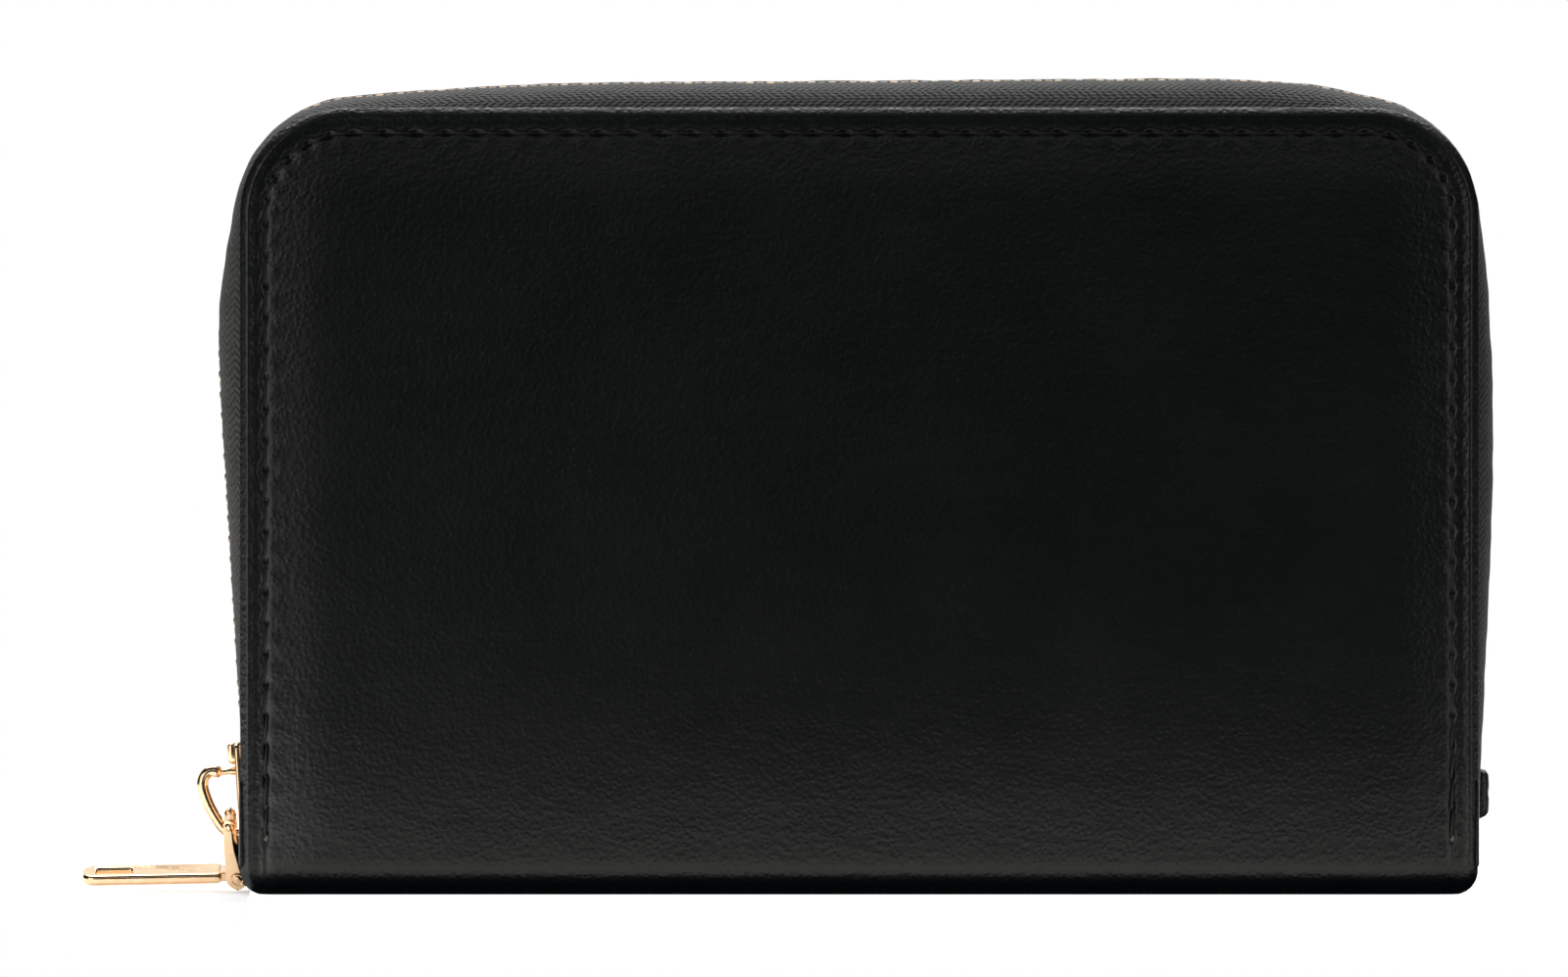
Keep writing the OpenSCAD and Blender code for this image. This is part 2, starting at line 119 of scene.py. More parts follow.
class Value:
    """One socket of a material. Sums and products of values add Math nodes to the material."""

    def __init__(self, tree, socket):
        self.tree = tree
        self.socket = socket

    def node(self, kind, inputs, output=0, **settings):
        """The output of a new node of this kind, with its settings made first and its sockets filled next."""
        made = self.tree.nodes.new(kind)
        stops = settings.pop("stops", None)
        for key, setting in settings.items():
            setattr(made, key, setting)
        if stops:
            while len(made.color_ramp.elements) < len(stops):
                made.color_ramp.elements.new(0.5)
            for element, (at, colour) in zip(made.color_ramp.elements, stops):
                element.position = at
                element.color = (*colour, 1) if hasattr(colour, "__len__") else (colour, colour, colour, 1)
        for key, given in inputs.items():
            if isinstance(given, Value):
                self.tree.links.new(given.socket, made.inputs[key])
            else:
                made.inputs[key].default_value = given
        return Value(self.tree, made.outputs[output])

    def math(self, operation, *others):
        return self.node("ShaderNodeMath", dict(enumerate((self, *others))), operation=operation)

    def ramp(self, *stops):
        """Runs from colour to colour through stops of (value, colour)."""
        return self.node("ShaderNodeValToRGB", {0: self}, stops=stops)

    def __add__(self, other):
        return self.math("ADD", other)

    def __sub__(self, other):
        return self.math("SUBTRACT", other)

    def __rsub__(self, other):
        return self.node("ShaderNodeMath", {0: other, 1: self}, operation="SUBTRACT")

    def __mul__(self, other):
        return self.math("MULTIPLY", other)

    __radd__ = __add__
    __rmul__ = __mul__


class Finish:
    """A material that is being made: its coordinates, and the principled shader that they end in."""

    def __init__(self, name, **constants):
        self.material = bpy.data.materials.new(name)
        self.material.use_nodes = True
        self.tree = self.material.node_tree
        self.shader = self.tree.nodes["Principled BSDF"]
        coordinates = self.tree.nodes.new("ShaderNodeTexCoord")
        self.place = Value(self.tree, coordinates.outputs["Object"])
        self.cloth = Value(self.tree, coordinates.outputs["UV"])
        for key, number in constants.items():
            self.shader.inputs[key.replace("_", " ").title().replace("Ior", "IOR")].default_value = number

    def feed(self, socket, given):
        self.tree.links.new(given.socket, self.shader.inputs[socket])

    def bump(self, height, depth, strength=1.0):
        """Raises the surface by height, where 1 is this many millimetres."""
        raised = {"Height": height, "Distance": depth * MM, "Strength": strength}
        self.feed("Normal", height.node("ShaderNodeBump", raised))

    def noise(self, size, detail=2.0, stretch=(1, 1, 1), rough=0.5):
        """Soft noise from 0 to 1 with lumps of about this many millimetres."""
        scaled = self.place.node("ShaderNodeVectorMath", {0: self.place, 1: stretch}, operation="MULTIPLY")
        return scaled.node("ShaderNodeTexNoise",
                           {"Vector": scaled, "Scale": 1 / (size * MM), "Detail": detail,
                                                  "Roughness": rough})


table = Finish("table_top", roughness=0.9, emission_strength=0.45)
table.shader.inputs["Base Color"].default_value = (0.85, 0.85, 0.85, 1)
table.shader.inputs["Emission Color"].default_value = (1, 1, 1, 1)
table.feed("Roughness", table.noise(40) * 0.1 + 0.85)
floor_mesh = bpy.data.meshes.new("floor")
floor_plan = [(-0.3, -0.1), (-0.074, -0.1), (-0.074, 0.02), (0.3, 0.02), (0.3, 0.26), (-0.3, 0.26)]
floor_mesh.from_pydata([(x, y, 0) for x, y in floor_plan], [], [range(len(floor_plan))])
floor = bpy.data.objects.new("floor", floor_mesh)
floor_mesh.materials.append(table.material)
scene.collection.objects.link(floor)


# ---- Cover leather ----
# Each half is one skin of soft black nappa: it is turned round the stiffener's edge, padded under the middle,
# sewn down all round and folded under into the spine. The stitches pull the leather into small puckers.
CORNER_R = 13.2
FOLD_R = 4.5
PATH_Z = 5
side_len = top_z - CORNER_R - PATH_Z
corner_len = CORNER_R * math.pi / 2
top_len = 2 * (half_w - CORNER_R)
left_corner = side_len
top_start = left_corner + corner_len
top_end = top_start + top_len
right_corner = top_end + corner_len
path_end = right_corner + side_len
STITCH_INSET = 3.1
STITCH_PITCH = 3.7


def facing(s):
    """The outward direction of the covers' outline at s, up the left side, over the top and down the right."""
    if s < left_corner:
        return math.pi
    if s < top_start:
        return math.pi - (s - left_corner) / CORNER_R
    if s < top_end:
        return math.pi / 2
    if s < right_corner:
        return math.pi / 2 - (s - top_end) / CORNER_R
    return 0.0


def outside(s, off=0.0):
    """The point (x, z) this far outside the covers' outline at s."""
    turn = facing(s)
    out_x, out_z = math.cos(turn), math.sin(turn)
    if s < left_corner:
        x, z = -half_w, PATH_Z + s
    elif s < top_start:
        x = CORNER_R - half_w + CORNER_R * out_x
        z = top_z - CORNER_R + CORNER_R * out_z
    elif s < top_end:
        x, z = CORNER_R - half_w + s - top_start, top_z
    elif s < right_corner:
        x = half_w - CORNER_R + CORNER_R * out_x
        z = top_z - CORNER_R + CORNER_R * out_z
    else:
        x, z = half_w, top_z - CORNER_R - (s - right_corner)
    return x + off * out_x, z + off * out_z


def mesh_piece(name, points, faces, finish, smooth=True, uv=None):
    """A new piece from points in millimetres. uv gives each point's place on the flat cloth."""
    mesh = bpy.data.meshes.new(name)
    mesh.from_pydata([Vector(p) * MM for p in points], [], faces)
    if uv:
        layer = mesh.uv_layers.new(name="cloth")
        for loop in mesh.loops:
            layer.data[loop.index].uv = uv[loop.vertex_index]
    mesh.validate()
    work = bmesh.new()
    work.from_mesh(mesh)
    bmesh.ops.recalc_face_normals(work, faces=work.faces)
    work.to_mesh(mesh)
    work.free()
    mesh.shade_smooth() if smooth else mesh.shade_flat()
    mesh.materials.append(finish.material)
    made = bpy.data.objects.new(name, mesh)
    scene.collection.objects.link(made)
    return made


def applied(piece, *modifiers):
    """The piece with these modifiers made part of its mesh. Each is (type, settings)."""
    for kind, settings in modifiers:
        added = piece.modifiers.new(kind.lower(), kind)
        for key, setting in settings.items():
            setattr(added, key, setting)
    graph = bpy.context.evaluated_depsgraph_get()
    mesh = bpy.data.meshes.new_from_object(piece.evaluated_get(graph))
    piece.modifiers.clear()
    piece.data = mesh
    return piece


def curve_through(keys, x):
    """Smooth rise and fall through (x, y) keys, level at none of them but the ends."""
    if x <= keys[0][0]:
        return keys[0][1]
    for i in range(len(keys) - 1):
        (x0, y0), (x1, y1) = keys[i], keys[i + 1]
        if x <= x1:
            before = keys[i - 1] if i else keys[i]
            after = keys[i + 2] if i + 2 < len(keys) else keys[i + 1]
            s0 = (y1 - before[1]) / (x1 - before[0]) if i else 0
            s1 = (after[1] - y0) / (after[0] - x0) if i + 2 < len(keys) else 0
            t = (x - x0) / (x1 - x0)
            d = x1 - x0
            return (y0 * (1 + 2 * t) * (1 - t) ** 2 + y1 * t * t * (3 - 2 * t)
                    + d * (s0 * t * (1 - t) ** 2 - s1 * t * t * (1 - t)))
    return keys[-1][1]


# How far the leather lies under the crown of the pad, against the distance in from the edge
SECTION = [
    (0, 1.4), (0.2, 1.18), (0.4, 0.98), (0.6, 0.8), (0.8, 0.65), (0.92, 0.58), (1.05, 0.57), (1.3, 0.65), (1.7, 0.77),
    (2.1, 0.85), (2.35, 0.85), (2.75, 0.7), (3.1, 0.78), (3.5, 0.7), (4, 0.62), (5.5, 0.44), (7.5, 0.2), (9.3, 0.05),
    (11.5, 0)]
first_stitch = 2
last_stitch = path_end - 2
stitch_count = int((last_stitch - first_stitch) / STITCH_PITCH)
stitch_step = (last_stitch - first_stitch) / stitch_count


def leather_depth(s, inset, x, z, seed):
    """Depth of the leather's face under the crown: section, puckers round the stitches, soft creases."""
    pucker = 0.0
    if s is not None and inset < 7:
        phase = (s - first_stitch) / stitch_step
        number = math.floor(phase + 0.5)
        hole = (phase - number) * stitch_step
        across = inset - STITCH_INSET
        jitter = noise.noise(Vector((number * 3.7, seed, 0)))
        wave = math.cos(2 * math.pi * phase)
        pucker = 0.34 * (wave + 0.5 * jitter) * math.exp(-((across + 0.7) / 0.5) ** 2)
        dent = (0.62 + 0.25 * jitter) * math.exp(-(hole / 0.55) ** 2 - (across / 0.36) ** 2)
        dent += 0.05 * math.exp(-(across / 0.3) ** 2)
        dent += 0.07 * (1 + jitter) * wave * math.exp(-((across - 0.9) / 0.6) ** 2)
    depth = curve_through(SECTION, inset + pucker) + (dent if s is not None and inset < 7 else 0)
    inner = min(inset / 6, 1)
    depth += 0.06 * inner * noise.noise(Vector((x / 34, z / 19, seed)))
    depth += 0.035 * inner * noise.noise(Vector((x / 9, z / 3.6, seed + 4)))
    lower = max(0.0, 1 - (z - FOLD_R) / 24)
    return depth + 0.45 * lower * lower


nappa = Finish("black_nappa", roughness=0.33)
grain_at = nappa.place.node("ShaderNodeVectorMath", {0: nappa.place, 1: nappa.noise(1.1, 2) * 0.0003},
                            operation="ADD")
cells = grain_at.node("ShaderNodeTexVoronoi",
                      {"Vector": grain_at, "Scale": 1 / (0.62 * MM), "Smoothness": 0.5},
                      feature="SMOOTH_F1")
creases = nappa.noise(1.5, 3, (0.5, 1, 1), 0.6)
fine = nappa.noise(0.28, 2)
broad = nappa.noise(16, 2)
pore = cells.ramp((0.0, 0.0), (0.55, 0.75), (0.9, 1.0))
tone = (broad * 0.6 + creases * 0.4).ramp((0.3, (0.0018, 0.0024, 0.0032)), (0.7, (0.0036, 0.0044, 0.0053)))
nappa.feed("Base Color", tone)
nappa.feed("Roughness", broad * 0.08 + cells * 0.05 + creases * 0.04 + 0.3)
nappa.bump(1 - pore * 0.5 + creases * 0.8 + fine * 0.25, 0.1)


def stepped(length, step):
    count = max(1, round(length / step))
    return [length * i / count for i in range(count + 1)]


def cover_skin(name, side, seed):
    """The leather of one cover and its fold. side is -1 for the front and 1 for the back."""
    grid = 0.62
    rise = [FOLD_R + v for v in stepped(top_z - CORNER_R - FOLD_R, grid)]
    along = [z - PATH_Z for z in rise[:-1]]
    for start, length in ((left_corner, corner_len), (top_start, top_len), (top_end, corner_len)):
        along += [start + v for v in stepped(length, grid)[:-1]]
    along += [right_corner + top_z - CORNER_R - z for z in reversed(rise)]
    wrap = [(0.9, half_t - 2.28), (0.3, half_t - 2.2), (0.06, half_t - 1.95), (0, half_t - 1.55)]
    insets = [0, 0.05, 0.12, 0.22, 0.35, 0.5, 0.7, 0.9, 1.05, 1.2, 1.35, 1.55, 1.75, 2.05, 2.35, 2.6, 2.8,
              2.95, 3.1,
              3.25, 3.4, 3.6, 3.85, 4.15, 4.5, 5, 5.6, 6.4, 7.3, 8.4, 9.6, 10.9, 12.2, CORNER_R]
    points, faces, ids = [], [], {}

    def point(x, z, deep, fold=0.0):
        """Adds a point this deep under the crown; fold turns it round the lower edge, in radians."""
        if fold:
            out = FOLD_R - deep
            y, z = half_t - FOLD_R + out * math.cos(fold), FOLD_R - out * math.sin(fold)
            corner = 3.0
            draw_in = corner - math.sqrt(max(0.0, corner ** 2 - max(0.0, corner - z) ** 2))
            x *= 1 - draw_in / half_w
        else:
            y = half_t - deep
        key = (round(x, 3), round(y, 3), round(z, 3))
        if key not in ids:
            ids[key] = len(points)
            points.append((x, side * y, z))
        return ids[key]

    def join(rows):
        for lower, upper in zip(rows, rows[1:]):
            for a, b, c, d in zip(lower, lower[1:], upper[1:], upper):
                corners = list(dict.fromkeys((a, b, c, d)))
                if len(corners) > 2:
                    faces.append(corners)

    rows = []
    for inset, y in wrap:
        rows.append([point(*outside(s, -inset), half_t - y) for s in along])
    for inset in insets:
        row = []
        for s in along:
            x, z = outside(s, -inset)
            row.append(point(x, z, leather_depth(s, inset, x, z, seed)))
        rows.append(row)
    join(rows)
    across = [CORNER_R - half_w + v for v in stepped(top_len, grid)]
    join([[point(x, z, leather_depth(None, min(half_w - abs(x), top_z - z), x, z, seed)) for x in across]
          for z in rise])

    # The lower edge: each column of the cover goes on round the fold
    columns = [(-half_w + inset, inset, y) for inset, y in wrap] + [(-half_w + i, i, None) for i in insets]
    columns += [(x, half_w - abs(x), None) for x in across[1:-1]]
    columns += [(-x, inset, y) for x, inset, y in reversed(columns[:len(wrap) + len(insets)])]
    turns = [math.pi / 2 * i / 11 for i in range(12)]
    fold_rows = []
    for turn in turns:
        row = []
        for x, inset, y in columns:
            s = (FOLD_R - PATH_Z) if x < 0 else path_end + PATH_Z - FOLD_R
            deep = half_t - y if y is not None else (leather_depth(s if inset < 7 else None, inset, x,
                                                                   FOLD_R, seed)
                                                     * (0.03 + 0.97 * math.cos(turn) ** 1.5))
            row.append(point(x, FOLD_R, deep, turn))
        fold_rows.append(row)
    join(fold_rows)
    skin = mesh_piece(name, points, faces, nappa)
    work = bmesh.new()
    work.from_mesh(skin.data)
    bmesh.ops.remove_doubles(work, verts=work.verts, dist=0.00001)
    work.to_mesh(skin.data)
    work.free()
    applied(skin, ("SOLIDIFY", {"thickness": 0.35 * MM, "offset": -1}))
    return skin


for half, side, seed in (("front", -1, 3.0), ("back", 1, 11.0)):
    skin = cover_skin(half + "_cover_skin", side, seed)
    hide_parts(half + "_cover_leather", half + "_fold")
    half + "_half"
    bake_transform(skin)

# ---- Spine ----
# A strip of the same nappa over a board, flat under the wallet so that it stands. Its inner face is covered
# with the lining, a black twill that is glued down.
lining_cloth = Finish("black_twill", roughness=0.8)
twill = lining_cloth.place.node("ShaderNodeTexWave", {"Vector": lining_cloth.place, "Scale": 1 / (2.2 * MM),
                                                      "Distortion": 0.4, "Detail": 1},
                                                      bands_direction="DIAGONAL")
weft = lining_cloth.noise(0.5, 2, (1, 1, 3))
cloth_tone = twill * 0.6 + weft * 0.4
lining_cloth.feed("Base Color", cloth_tone.ramp((0.2, (0.010, 0.010, 0.0115)), (0.8, (0.028, 0.028, 0.031))))
lining_cloth.feed("Roughness", weft * 0.15 + 0.7)
lining_cloth.bump(twill * 0.7 + weft * 0.5, 0.07)


def box_mm(node):
    """The low and the high corner of a part's box, in millimetres."""
    return [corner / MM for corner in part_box(node)]


def rounded_panel(x0, x1, z0, z1, corner, step, low_corner=None):
    """A grid of (x, z) points over a rectangle with rounded corners, as rows from the bottom up."""
    low_corner = corner if low_corner is None else low_corner
    wide = sorted({round(v, 4) for v in [x0 + v for v in stepped(x1 - x0, step)] + [x0 + corner, x1 - corner]})
    tall = sorted({round(v, 4) for v in [z0 + v for v in stepped(z1 - z0, step)] + [z0 + low_corner, z1 - corner]})
    rows = []
    for z in tall:
        row = []
        for x in wide:
            r = low_corner if z < (z0 + z1) / 2 else corner
            out_x = max(0, x0 + r - x, x - x1 + r)
            out_z = max(0, z0 + r - z, z - z1 + r)
            if out_x and out_z:
                drawn = max(out_x, out_z) / math.hypot(out_x, out_z)
                x += math.copysign(out_x * (1 - drawn), (x0 + x1) / 2 - x)
                row.append((x, z + math.copysign(out_z * (1 - drawn), (z0 + z1) / 2 - z)))
            else:
                row.append((x, z))
        rows.append(row)
    return rows


def sheet_piece(name, rows, finish, thick, uv=None):
    """A thin closed skin through rows of points. Its thickness lies half to each side."""
    wide = len(rows[0])
    faces = [(j * wide + i, j * wide + i + 1, (j + 1) * wide + i + 1, (j + 1) * wide + i)
             for j in range(len(rows) - 1) for i in range(wide - 1)]
    made = mesh_piece(name, [p for row in rows for p in row], faces, finish, uv=uv)
    applied(made, ("SOLIDIFY", {"thickness": thick * MM, "offset": 0, "use_even_offset": True}))
    made.data.set_sharp_from_angle(angle=math.radians(50))
    return made


spine_high = box_mm("spine_leather")[1]
spine_x, spine_y = spine_high.x, spine_high.y
under = [[(x, y, 0.22 + 0.03 * noise.noise(Vector((x / 9, y / 6, 2)))) for x, y in row]
         for row in rounded_panel(-spine_x, spine_x, -spine_y - 0.1, spine_y + 0.1, 2.5, 1.5)]
spine_skin = sheet_piece("spine_skin", under, nappa, 0.4)
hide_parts("spine_leather")
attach(spine_skin, "spine")

inside = [[(x, y, 2.15 + 0.06 * noise.noise(Vector((x / 12, y / 5, 7)))) for x, y in row]
          for row in rounded_panel(-spine_x + 2, spine_x - 2, -spine_y, spine_y, 2, 1.6)]
spine_lining = sheet_piece("spine_lining", inside, lining_cloth, 0.3)
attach(spine_lining, "spine")

# ---- Boards ----
# Grey bonded fibre board stiffens the spine and both covers. It is hidden between the leather and the lining.
fibre = Finish("fibre_board", roughness=0.9)
flecks = fibre.noise(0.8, 4)
fibre.feed("Base Color", flecks.ramp((0.3, (0.19, 0.17, 0.15)), (0.7, (0.3, 0.27, 0.23))))
fibre.bump(flecks, 0.08)
for name in ("spine_board", "front_board", "back_board"):
    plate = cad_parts[name].data
    plate.materials.clear()
    plate.materials.append(fibre.material)

# ---- Stitching ----
# One row of black thread sews each cover to its tape, board and lining up the left, over the top and down the
# right. Each stitch dives into its hole; near both lower ends the row is sewn over a second time to lock it.
thread = Finish("black_thread", roughness=0.6)
ply = thread.noise(0.25)
thread.feed("Base Color", ply.ramp((0.3, (0.0035, 0.0035, 0.004)), (0.7, (0.010, 0.010, 0.011))))
thread.bump(ply, 0.03)


class Build:
    """Collects the points and faces of one piece, in millimetres."""

    def __init__(self):
        self.points = []
        self.faces = []

    def rings(self, rings, place=Matrix(), caps=True):
        """Joins rings with the same number of points into a closed skin."""
        start, n = len(self.points), len(rings[0])
        self.points += [place @ Vector(p) for ring in rings for p in ring]
        for j in range(len(rings) - 1):
            a, b = start + j * n, start + (j + 1) * n
            self.faces += [(a + i, a + (i + 1) % n, b + (i + 1) % n, b + i) for i in range(n)]
        if caps:
            self.faces.append([start + i for i in reversed(range(n))])
            self.faces.append([start + (len(rings) - 1) * n + i for i in range(n)])

    def tube(self, line, radius, sides=8, place=Matrix()):
        """Round wire or thread along a line, with rounded ends. radius is one number, or one for each point."""
        line = [Vector(p) for p in line]
        last = len(line) - 1
        radii = list(radius) if hasattr(radius, "__len__") else [radius] * len(line)
        normal = (line[1] - line[0]).orthogonal().normalized()
        rings = []
        for i, point in enumerate(line):
            along = (line[min(i + 1, last)] - line[max(i - 1, 0)]).normalized()
            normal = (normal - along * normal.dot(along)).normalized()
            side = along.cross(normal)
            turns = [(0, 1)]
            if i in (0, last):
                way = -1 if i == 0 else 1
                turns += [(way * radii[i] * math.sin(math.radians(t)),
                           math.cos(math.radians(t))) for t in (30, 55, 78)]
                if i == 0:
                    turns.reverse()
            for reach, shrink in turns:
                rings.append([point + along * reach + (normal * math.cos(a) + side * math.sin(a)) * radii[i] * shrink
                              for a in (2 * math.pi * k / sides for k in range(sides))])
        self.rings(rings, place)

    def piece(self, name, finish, sharp=50):
        made = mesh_piece(name, self.points, self.faces, finish)
        made.data.set_sharp_from_angle(angle=math.radians(sharp))
        return made


def sewn_row(build, along, side, sink=0.0):
    """One stitch between each pair of holes along the covers' outline."""
    for a, b in zip(along, along[1:]):
        wobble = 0.05 * noise.noise(Vector((a * 5.1, side * 9, sink)))
        line = []
        for t in (0.04, 0.1, 0.2, 0.38, 0.62, 0.8, 0.9, 0.96):
            s = a + (b - a) * t
            x, z = outside(s, -STITCH_INSET - wobble - 0.34 * (t - 0.5))
            dip = 0.62 * max(0.0, abs(t - 0.5) * 2 - 0.45) / 0.55
            line.append((x, side * (half_t - 0.86 + sink - dip), z))
        build.tube(line, 0.17, 7)


holes = [first_stitch + i * stitch_step for i in range(stitch_count + 1)]
for half, side in (("front", -1), ("back", 1)):
    sewing = Build()
    sewn_row(sewing, holes, side)
    for second in (holes[1:5], holes[-5:-1]):
        sewn_row(sewing, [s + 0.35 for s in second], side, 0.14)
    row = sewing.piece(half + "_thread", thread)
    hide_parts(half + "_stitching")
    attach(row, half + "_half")

# ---- Zip tapes ----
# Charcoal herringbone polyester tape, sewn in between each cover's board and lining. It rises out of the gap
# to the teeth with a soft bend, and stands furthest out over the top and low on the right, where the full
# pockets push it.
TEETH_RUN = side_len - 22
STAND_OUT = [
    (0, -0.7, 0.06), (TEETH_RUN, -0.7 + TEETH_RUN * 0.06, 0.06), (TEETH_RUN + 11, -0.7 + TEETH_RUN * 0.06, -0.06),
    (left_corner + 2, 0.75, -0.1), (left_corner + corner_len / 2, 0.6, 0), (top_start, 1, 0.09),
    (top_start + 0.13 * top_len, 2.2, 0.05), (top_start + 0.5 * top_len, 2.9, 0.008),
    (top_start + 0.82 * top_len, 3.15, 0), (top_end - 0.06 * top_len, 2.5, -0.11), (top_end + 1.5, 0.85, -0.13),
    (top_end + corner_len / 2, 0.15, -0.02), (right_corner - 2, 0.1, 0.05), (right_corner + 7, 1.1, 0.08),
    (right_corner + 20, 1.85, 0.02), (right_corner + 33, 1.85, -0.02), (path_end - 15.5, 0.7, -0.04),
    (path_end + 0.5, -0.2, -0.06)]
TOOTH_HIGH = 2.2
tape_end = path_end - 0.5


def stand_out(s):
    """How far the tips of the teeth stand out of the covers' outline."""
    i = max(k for k, key in enumerate(STAND_OUT[:-1]) if k == 0 or s >= key[0])
    (s0, v0, m0), (s1, v1, m1) = STAND_OUT[i], STAND_OUT[i + 1]
    d = s1 - s0
    t = (s - s0) / d
    return (v0 * (1 + 2 * t) * (1 - t) ** 2 + v1 * t * t * (3 - 2 * t)
            + d * (m0 * t * (1 - t) ** 2 - m1 * t * t * (1 - t)))


woven = Finish("zip_tape", roughness=0.8)
place_on = woven.cloth.node("ShaderNodeSeparateXYZ", {0: woven.cloth})
across_tape = Value(woven.tree, place_on.socket)
along_tape = Value(woven.tree, place_on.socket.node.outputs[1])
loose = woven.noise(1.1, 3)
ribs = ((along_tape + across_tape.math("PINGPONG", 1.25) + loose * 0.9) * (2 * math.pi / 0.95)).math("SINE") * 0.5 + 0.5
picks = (across_tape * (2 * math.pi / 0.42)).math("SINE") * 0.5 + 0.5
dusty = woven.noise(2.4, 4)
fibres = woven.noise(0.35, 3)
yarn = ribs * 0.22 + picks * 0.08 + dusty * 0.3 + fibres * 0.4
woven.feed("Base Color", yarn.ramp((0.3, (0.016, 0.0165, 0.016)), (0.62, (0.075, 0.077, 0.073))))
woven.feed("Roughness", dusty * 0.15 + 0.7)
woven.bump(ribs * 0.5 + picks * 0.2 + fibres * 0.9, 0.16)


def tape_line(s):
    """The tape's line at s, from the teeth in: (distance from the middle, distance out of the outline)."""
    edge = stand_out(s) - TOOTH_HIGH / 2
    crest = stand_out(s) - 0.42 + 0.2 * min(max((s - TEETH_RUN - 4) / 12, 0), 1)
    keys = [(2.5, edge), (3.7, edge), (4.75, edge + 0.08), (5.9, crest), (8.2, 0.75 * crest - 0.2),
            (9.8, 0.3 * crest - 0.95), (10.35, -2.2), (10.45, -3.4), (10.45, -6.8)]
    line = []
    for k in range(len(keys) - 1):
        steps = (3, 4, 4, 6, 5, 4, 3, 3)[k]
        for j in range(steps):
            t = j / steps
            p0, p1, p2, p3 = (keys[max(k - 1, 0)], keys[k], keys[k + 1], keys[min(k + 2, len(keys) - 1)])
            line.append(tuple(0.5 * (2 * b + (c - a) * t + (2 * a - 5 * b + 4 * c - d) * t * t
                                     + (3 * b - a - 3 * c + d) * t ** 3) for a, b, c, d in zip(p0, p1, p2, p3)))
    return line + [keys[-1]]


for half, side in (("front", -1), ("back", 1)):
    rows, uv = [], []
    stations = stepped(tape_end, 0.9)
    for s in stations:
        line = tape_line(s)
        row = []
        for number, (y, off) in enumerate(line):
            free = math.sin(math.pi * min(1, number / (len(line) - 7)))
            ruffle = free * (0.11 * noise.noise(Vector((s / 4.3, side * 5, number / 9)))
                             + 0.02 * math.sin(2 * math.pi * (s - first_stitch) / stitch_step))
            x, z = outside(s, off + ruffle)
            row.append((x, side * y, z))
            uv.append((number * 0.5, s))
        rows.append(row)
    tape = sheet_piece(half + "_tape", rows, woven, 0.42, uv)
    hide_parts(half + "_zip_tape")
    tape_end * MM
    half + "_thread"
    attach(tape, half + "_half")

# ---- Zip teeth ----
# Stamped metal teeth, gold plated, clamped on to the tape's corded edge 2.5 mm apart. The head of each tooth
# reaches past the middle between two of the other row.
PITCH = 2.5
TEETH_FIRST = 14.2
FRONT_FIRST = TEETH_FIRST + 1.5 * PITCH
teeth_end = right_corner + top_z - CORNER_R - 18.4


def gold(name, worn, bright, rough):
    """Plated metal that runs from its worn to its bright colour, with faint handling marks."""
    metal = Finish(name, metallic=1.0, roughness=rough)
    wear = metal.noise(1.3, 3)
    fine_wear = metal.noise(0.12, 2)
    metal.feed("Base Color", wear.ramp((0.3, worn), (0.7, bright)))
    metal.feed("Roughness", wear * 0.1 + fine_wear * 0.06 + rough)
    metal.bump(fine_wear * 0.5 + wear, 0.012)
    return metal


plated = gold("polished_gold", (0.89, 0.60, 0.35), (0.97, 0.70, 0.45), 0.08)
# The teeth's gold is a darker copy of the polished gold. The darkening is painted shade, for teeth that sit in shade
# between the tapes.
shaded_teeth_gold = gold("shaded_teeth_gold", (0.50, 0.33, 0.18), (0.62, 0.42, 0.25), 0.22)


def tips(s):
    return outside(s, stand_out(s))


def run_angle(s):
    """Angle of the line of teeth at s, from +X towards +Z."""
    (x0, z0), (x1, z1) = tips(s - 0.2), tips(s + 0.2)
    return math.atan2(z1 - z0, x1 - x0)


def on_chain(s):
    """Frame with its origin at the teeth's tips, X along the zip, Y across and Z outwards."""
    x, z = tips(s)
    return Matrix.Translation((x, 0, z)) @ Matrix.Rotation(-run_angle(s), 4, "Y")


def tooth(build, place, side, wide, high, reach, foot):
    """One tooth from its head, past the middle, to the foot that clamps the tape. It lies from z = -high to 0."""
    sections = []
    for y, w, h in ((-reach, 0.62, 0.34), (-reach + 0.14, 0.86, 0.48), (-reach * 0.3, 1.0, 0.56),
                    (0.55, 1.0, 0.6),
                    (0.95, 0.86, 0.74), (1.35, 0.8, 0.9), (foot - 0.75, 0.96, 1.0), (foot - 0.2, 0.92, 0.97),
                    (foot, 0.7, 0.8)):
        a, b = wide / 2 * w, high / 2 * h
        cut = min(a, b) * 0.34
        eight = ((-a, cut - b), (cut - a, -b), (a - cut, -b), (a, cut - b), (a, b - cut), (a - cut, b),
                 (cut - a, b),
                 (-a, b - cut))
        sections.append([(x, side * y, z - high / 2) for x, z in eight])
    build.rings(sections, place)


for half, side, first in (("front", -1, FRONT_FIRST), ("back", 1, TEETH_FIRST)):
    chain = Build()
    for i in range(int((teeth_end - first) / PITCH) + 1):
        tooth(chain, on_chain(first + i * PITCH), side, 1.12, TOOTH_HIGH, 0.62, 2.9)
    row = chain.piece(half + "_teeth", shaded_teeth_gold, 35)
    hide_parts(half + "_zip_teeth")
    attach(row, half + "_half")

# ---- Zip stops and end tab ----
# A small clip on each tape stops the slider at the bottom of the left side. On the right both tapes run into
# a clamped stop, and their raw ends are tucked under a folded leather tab on the spine.


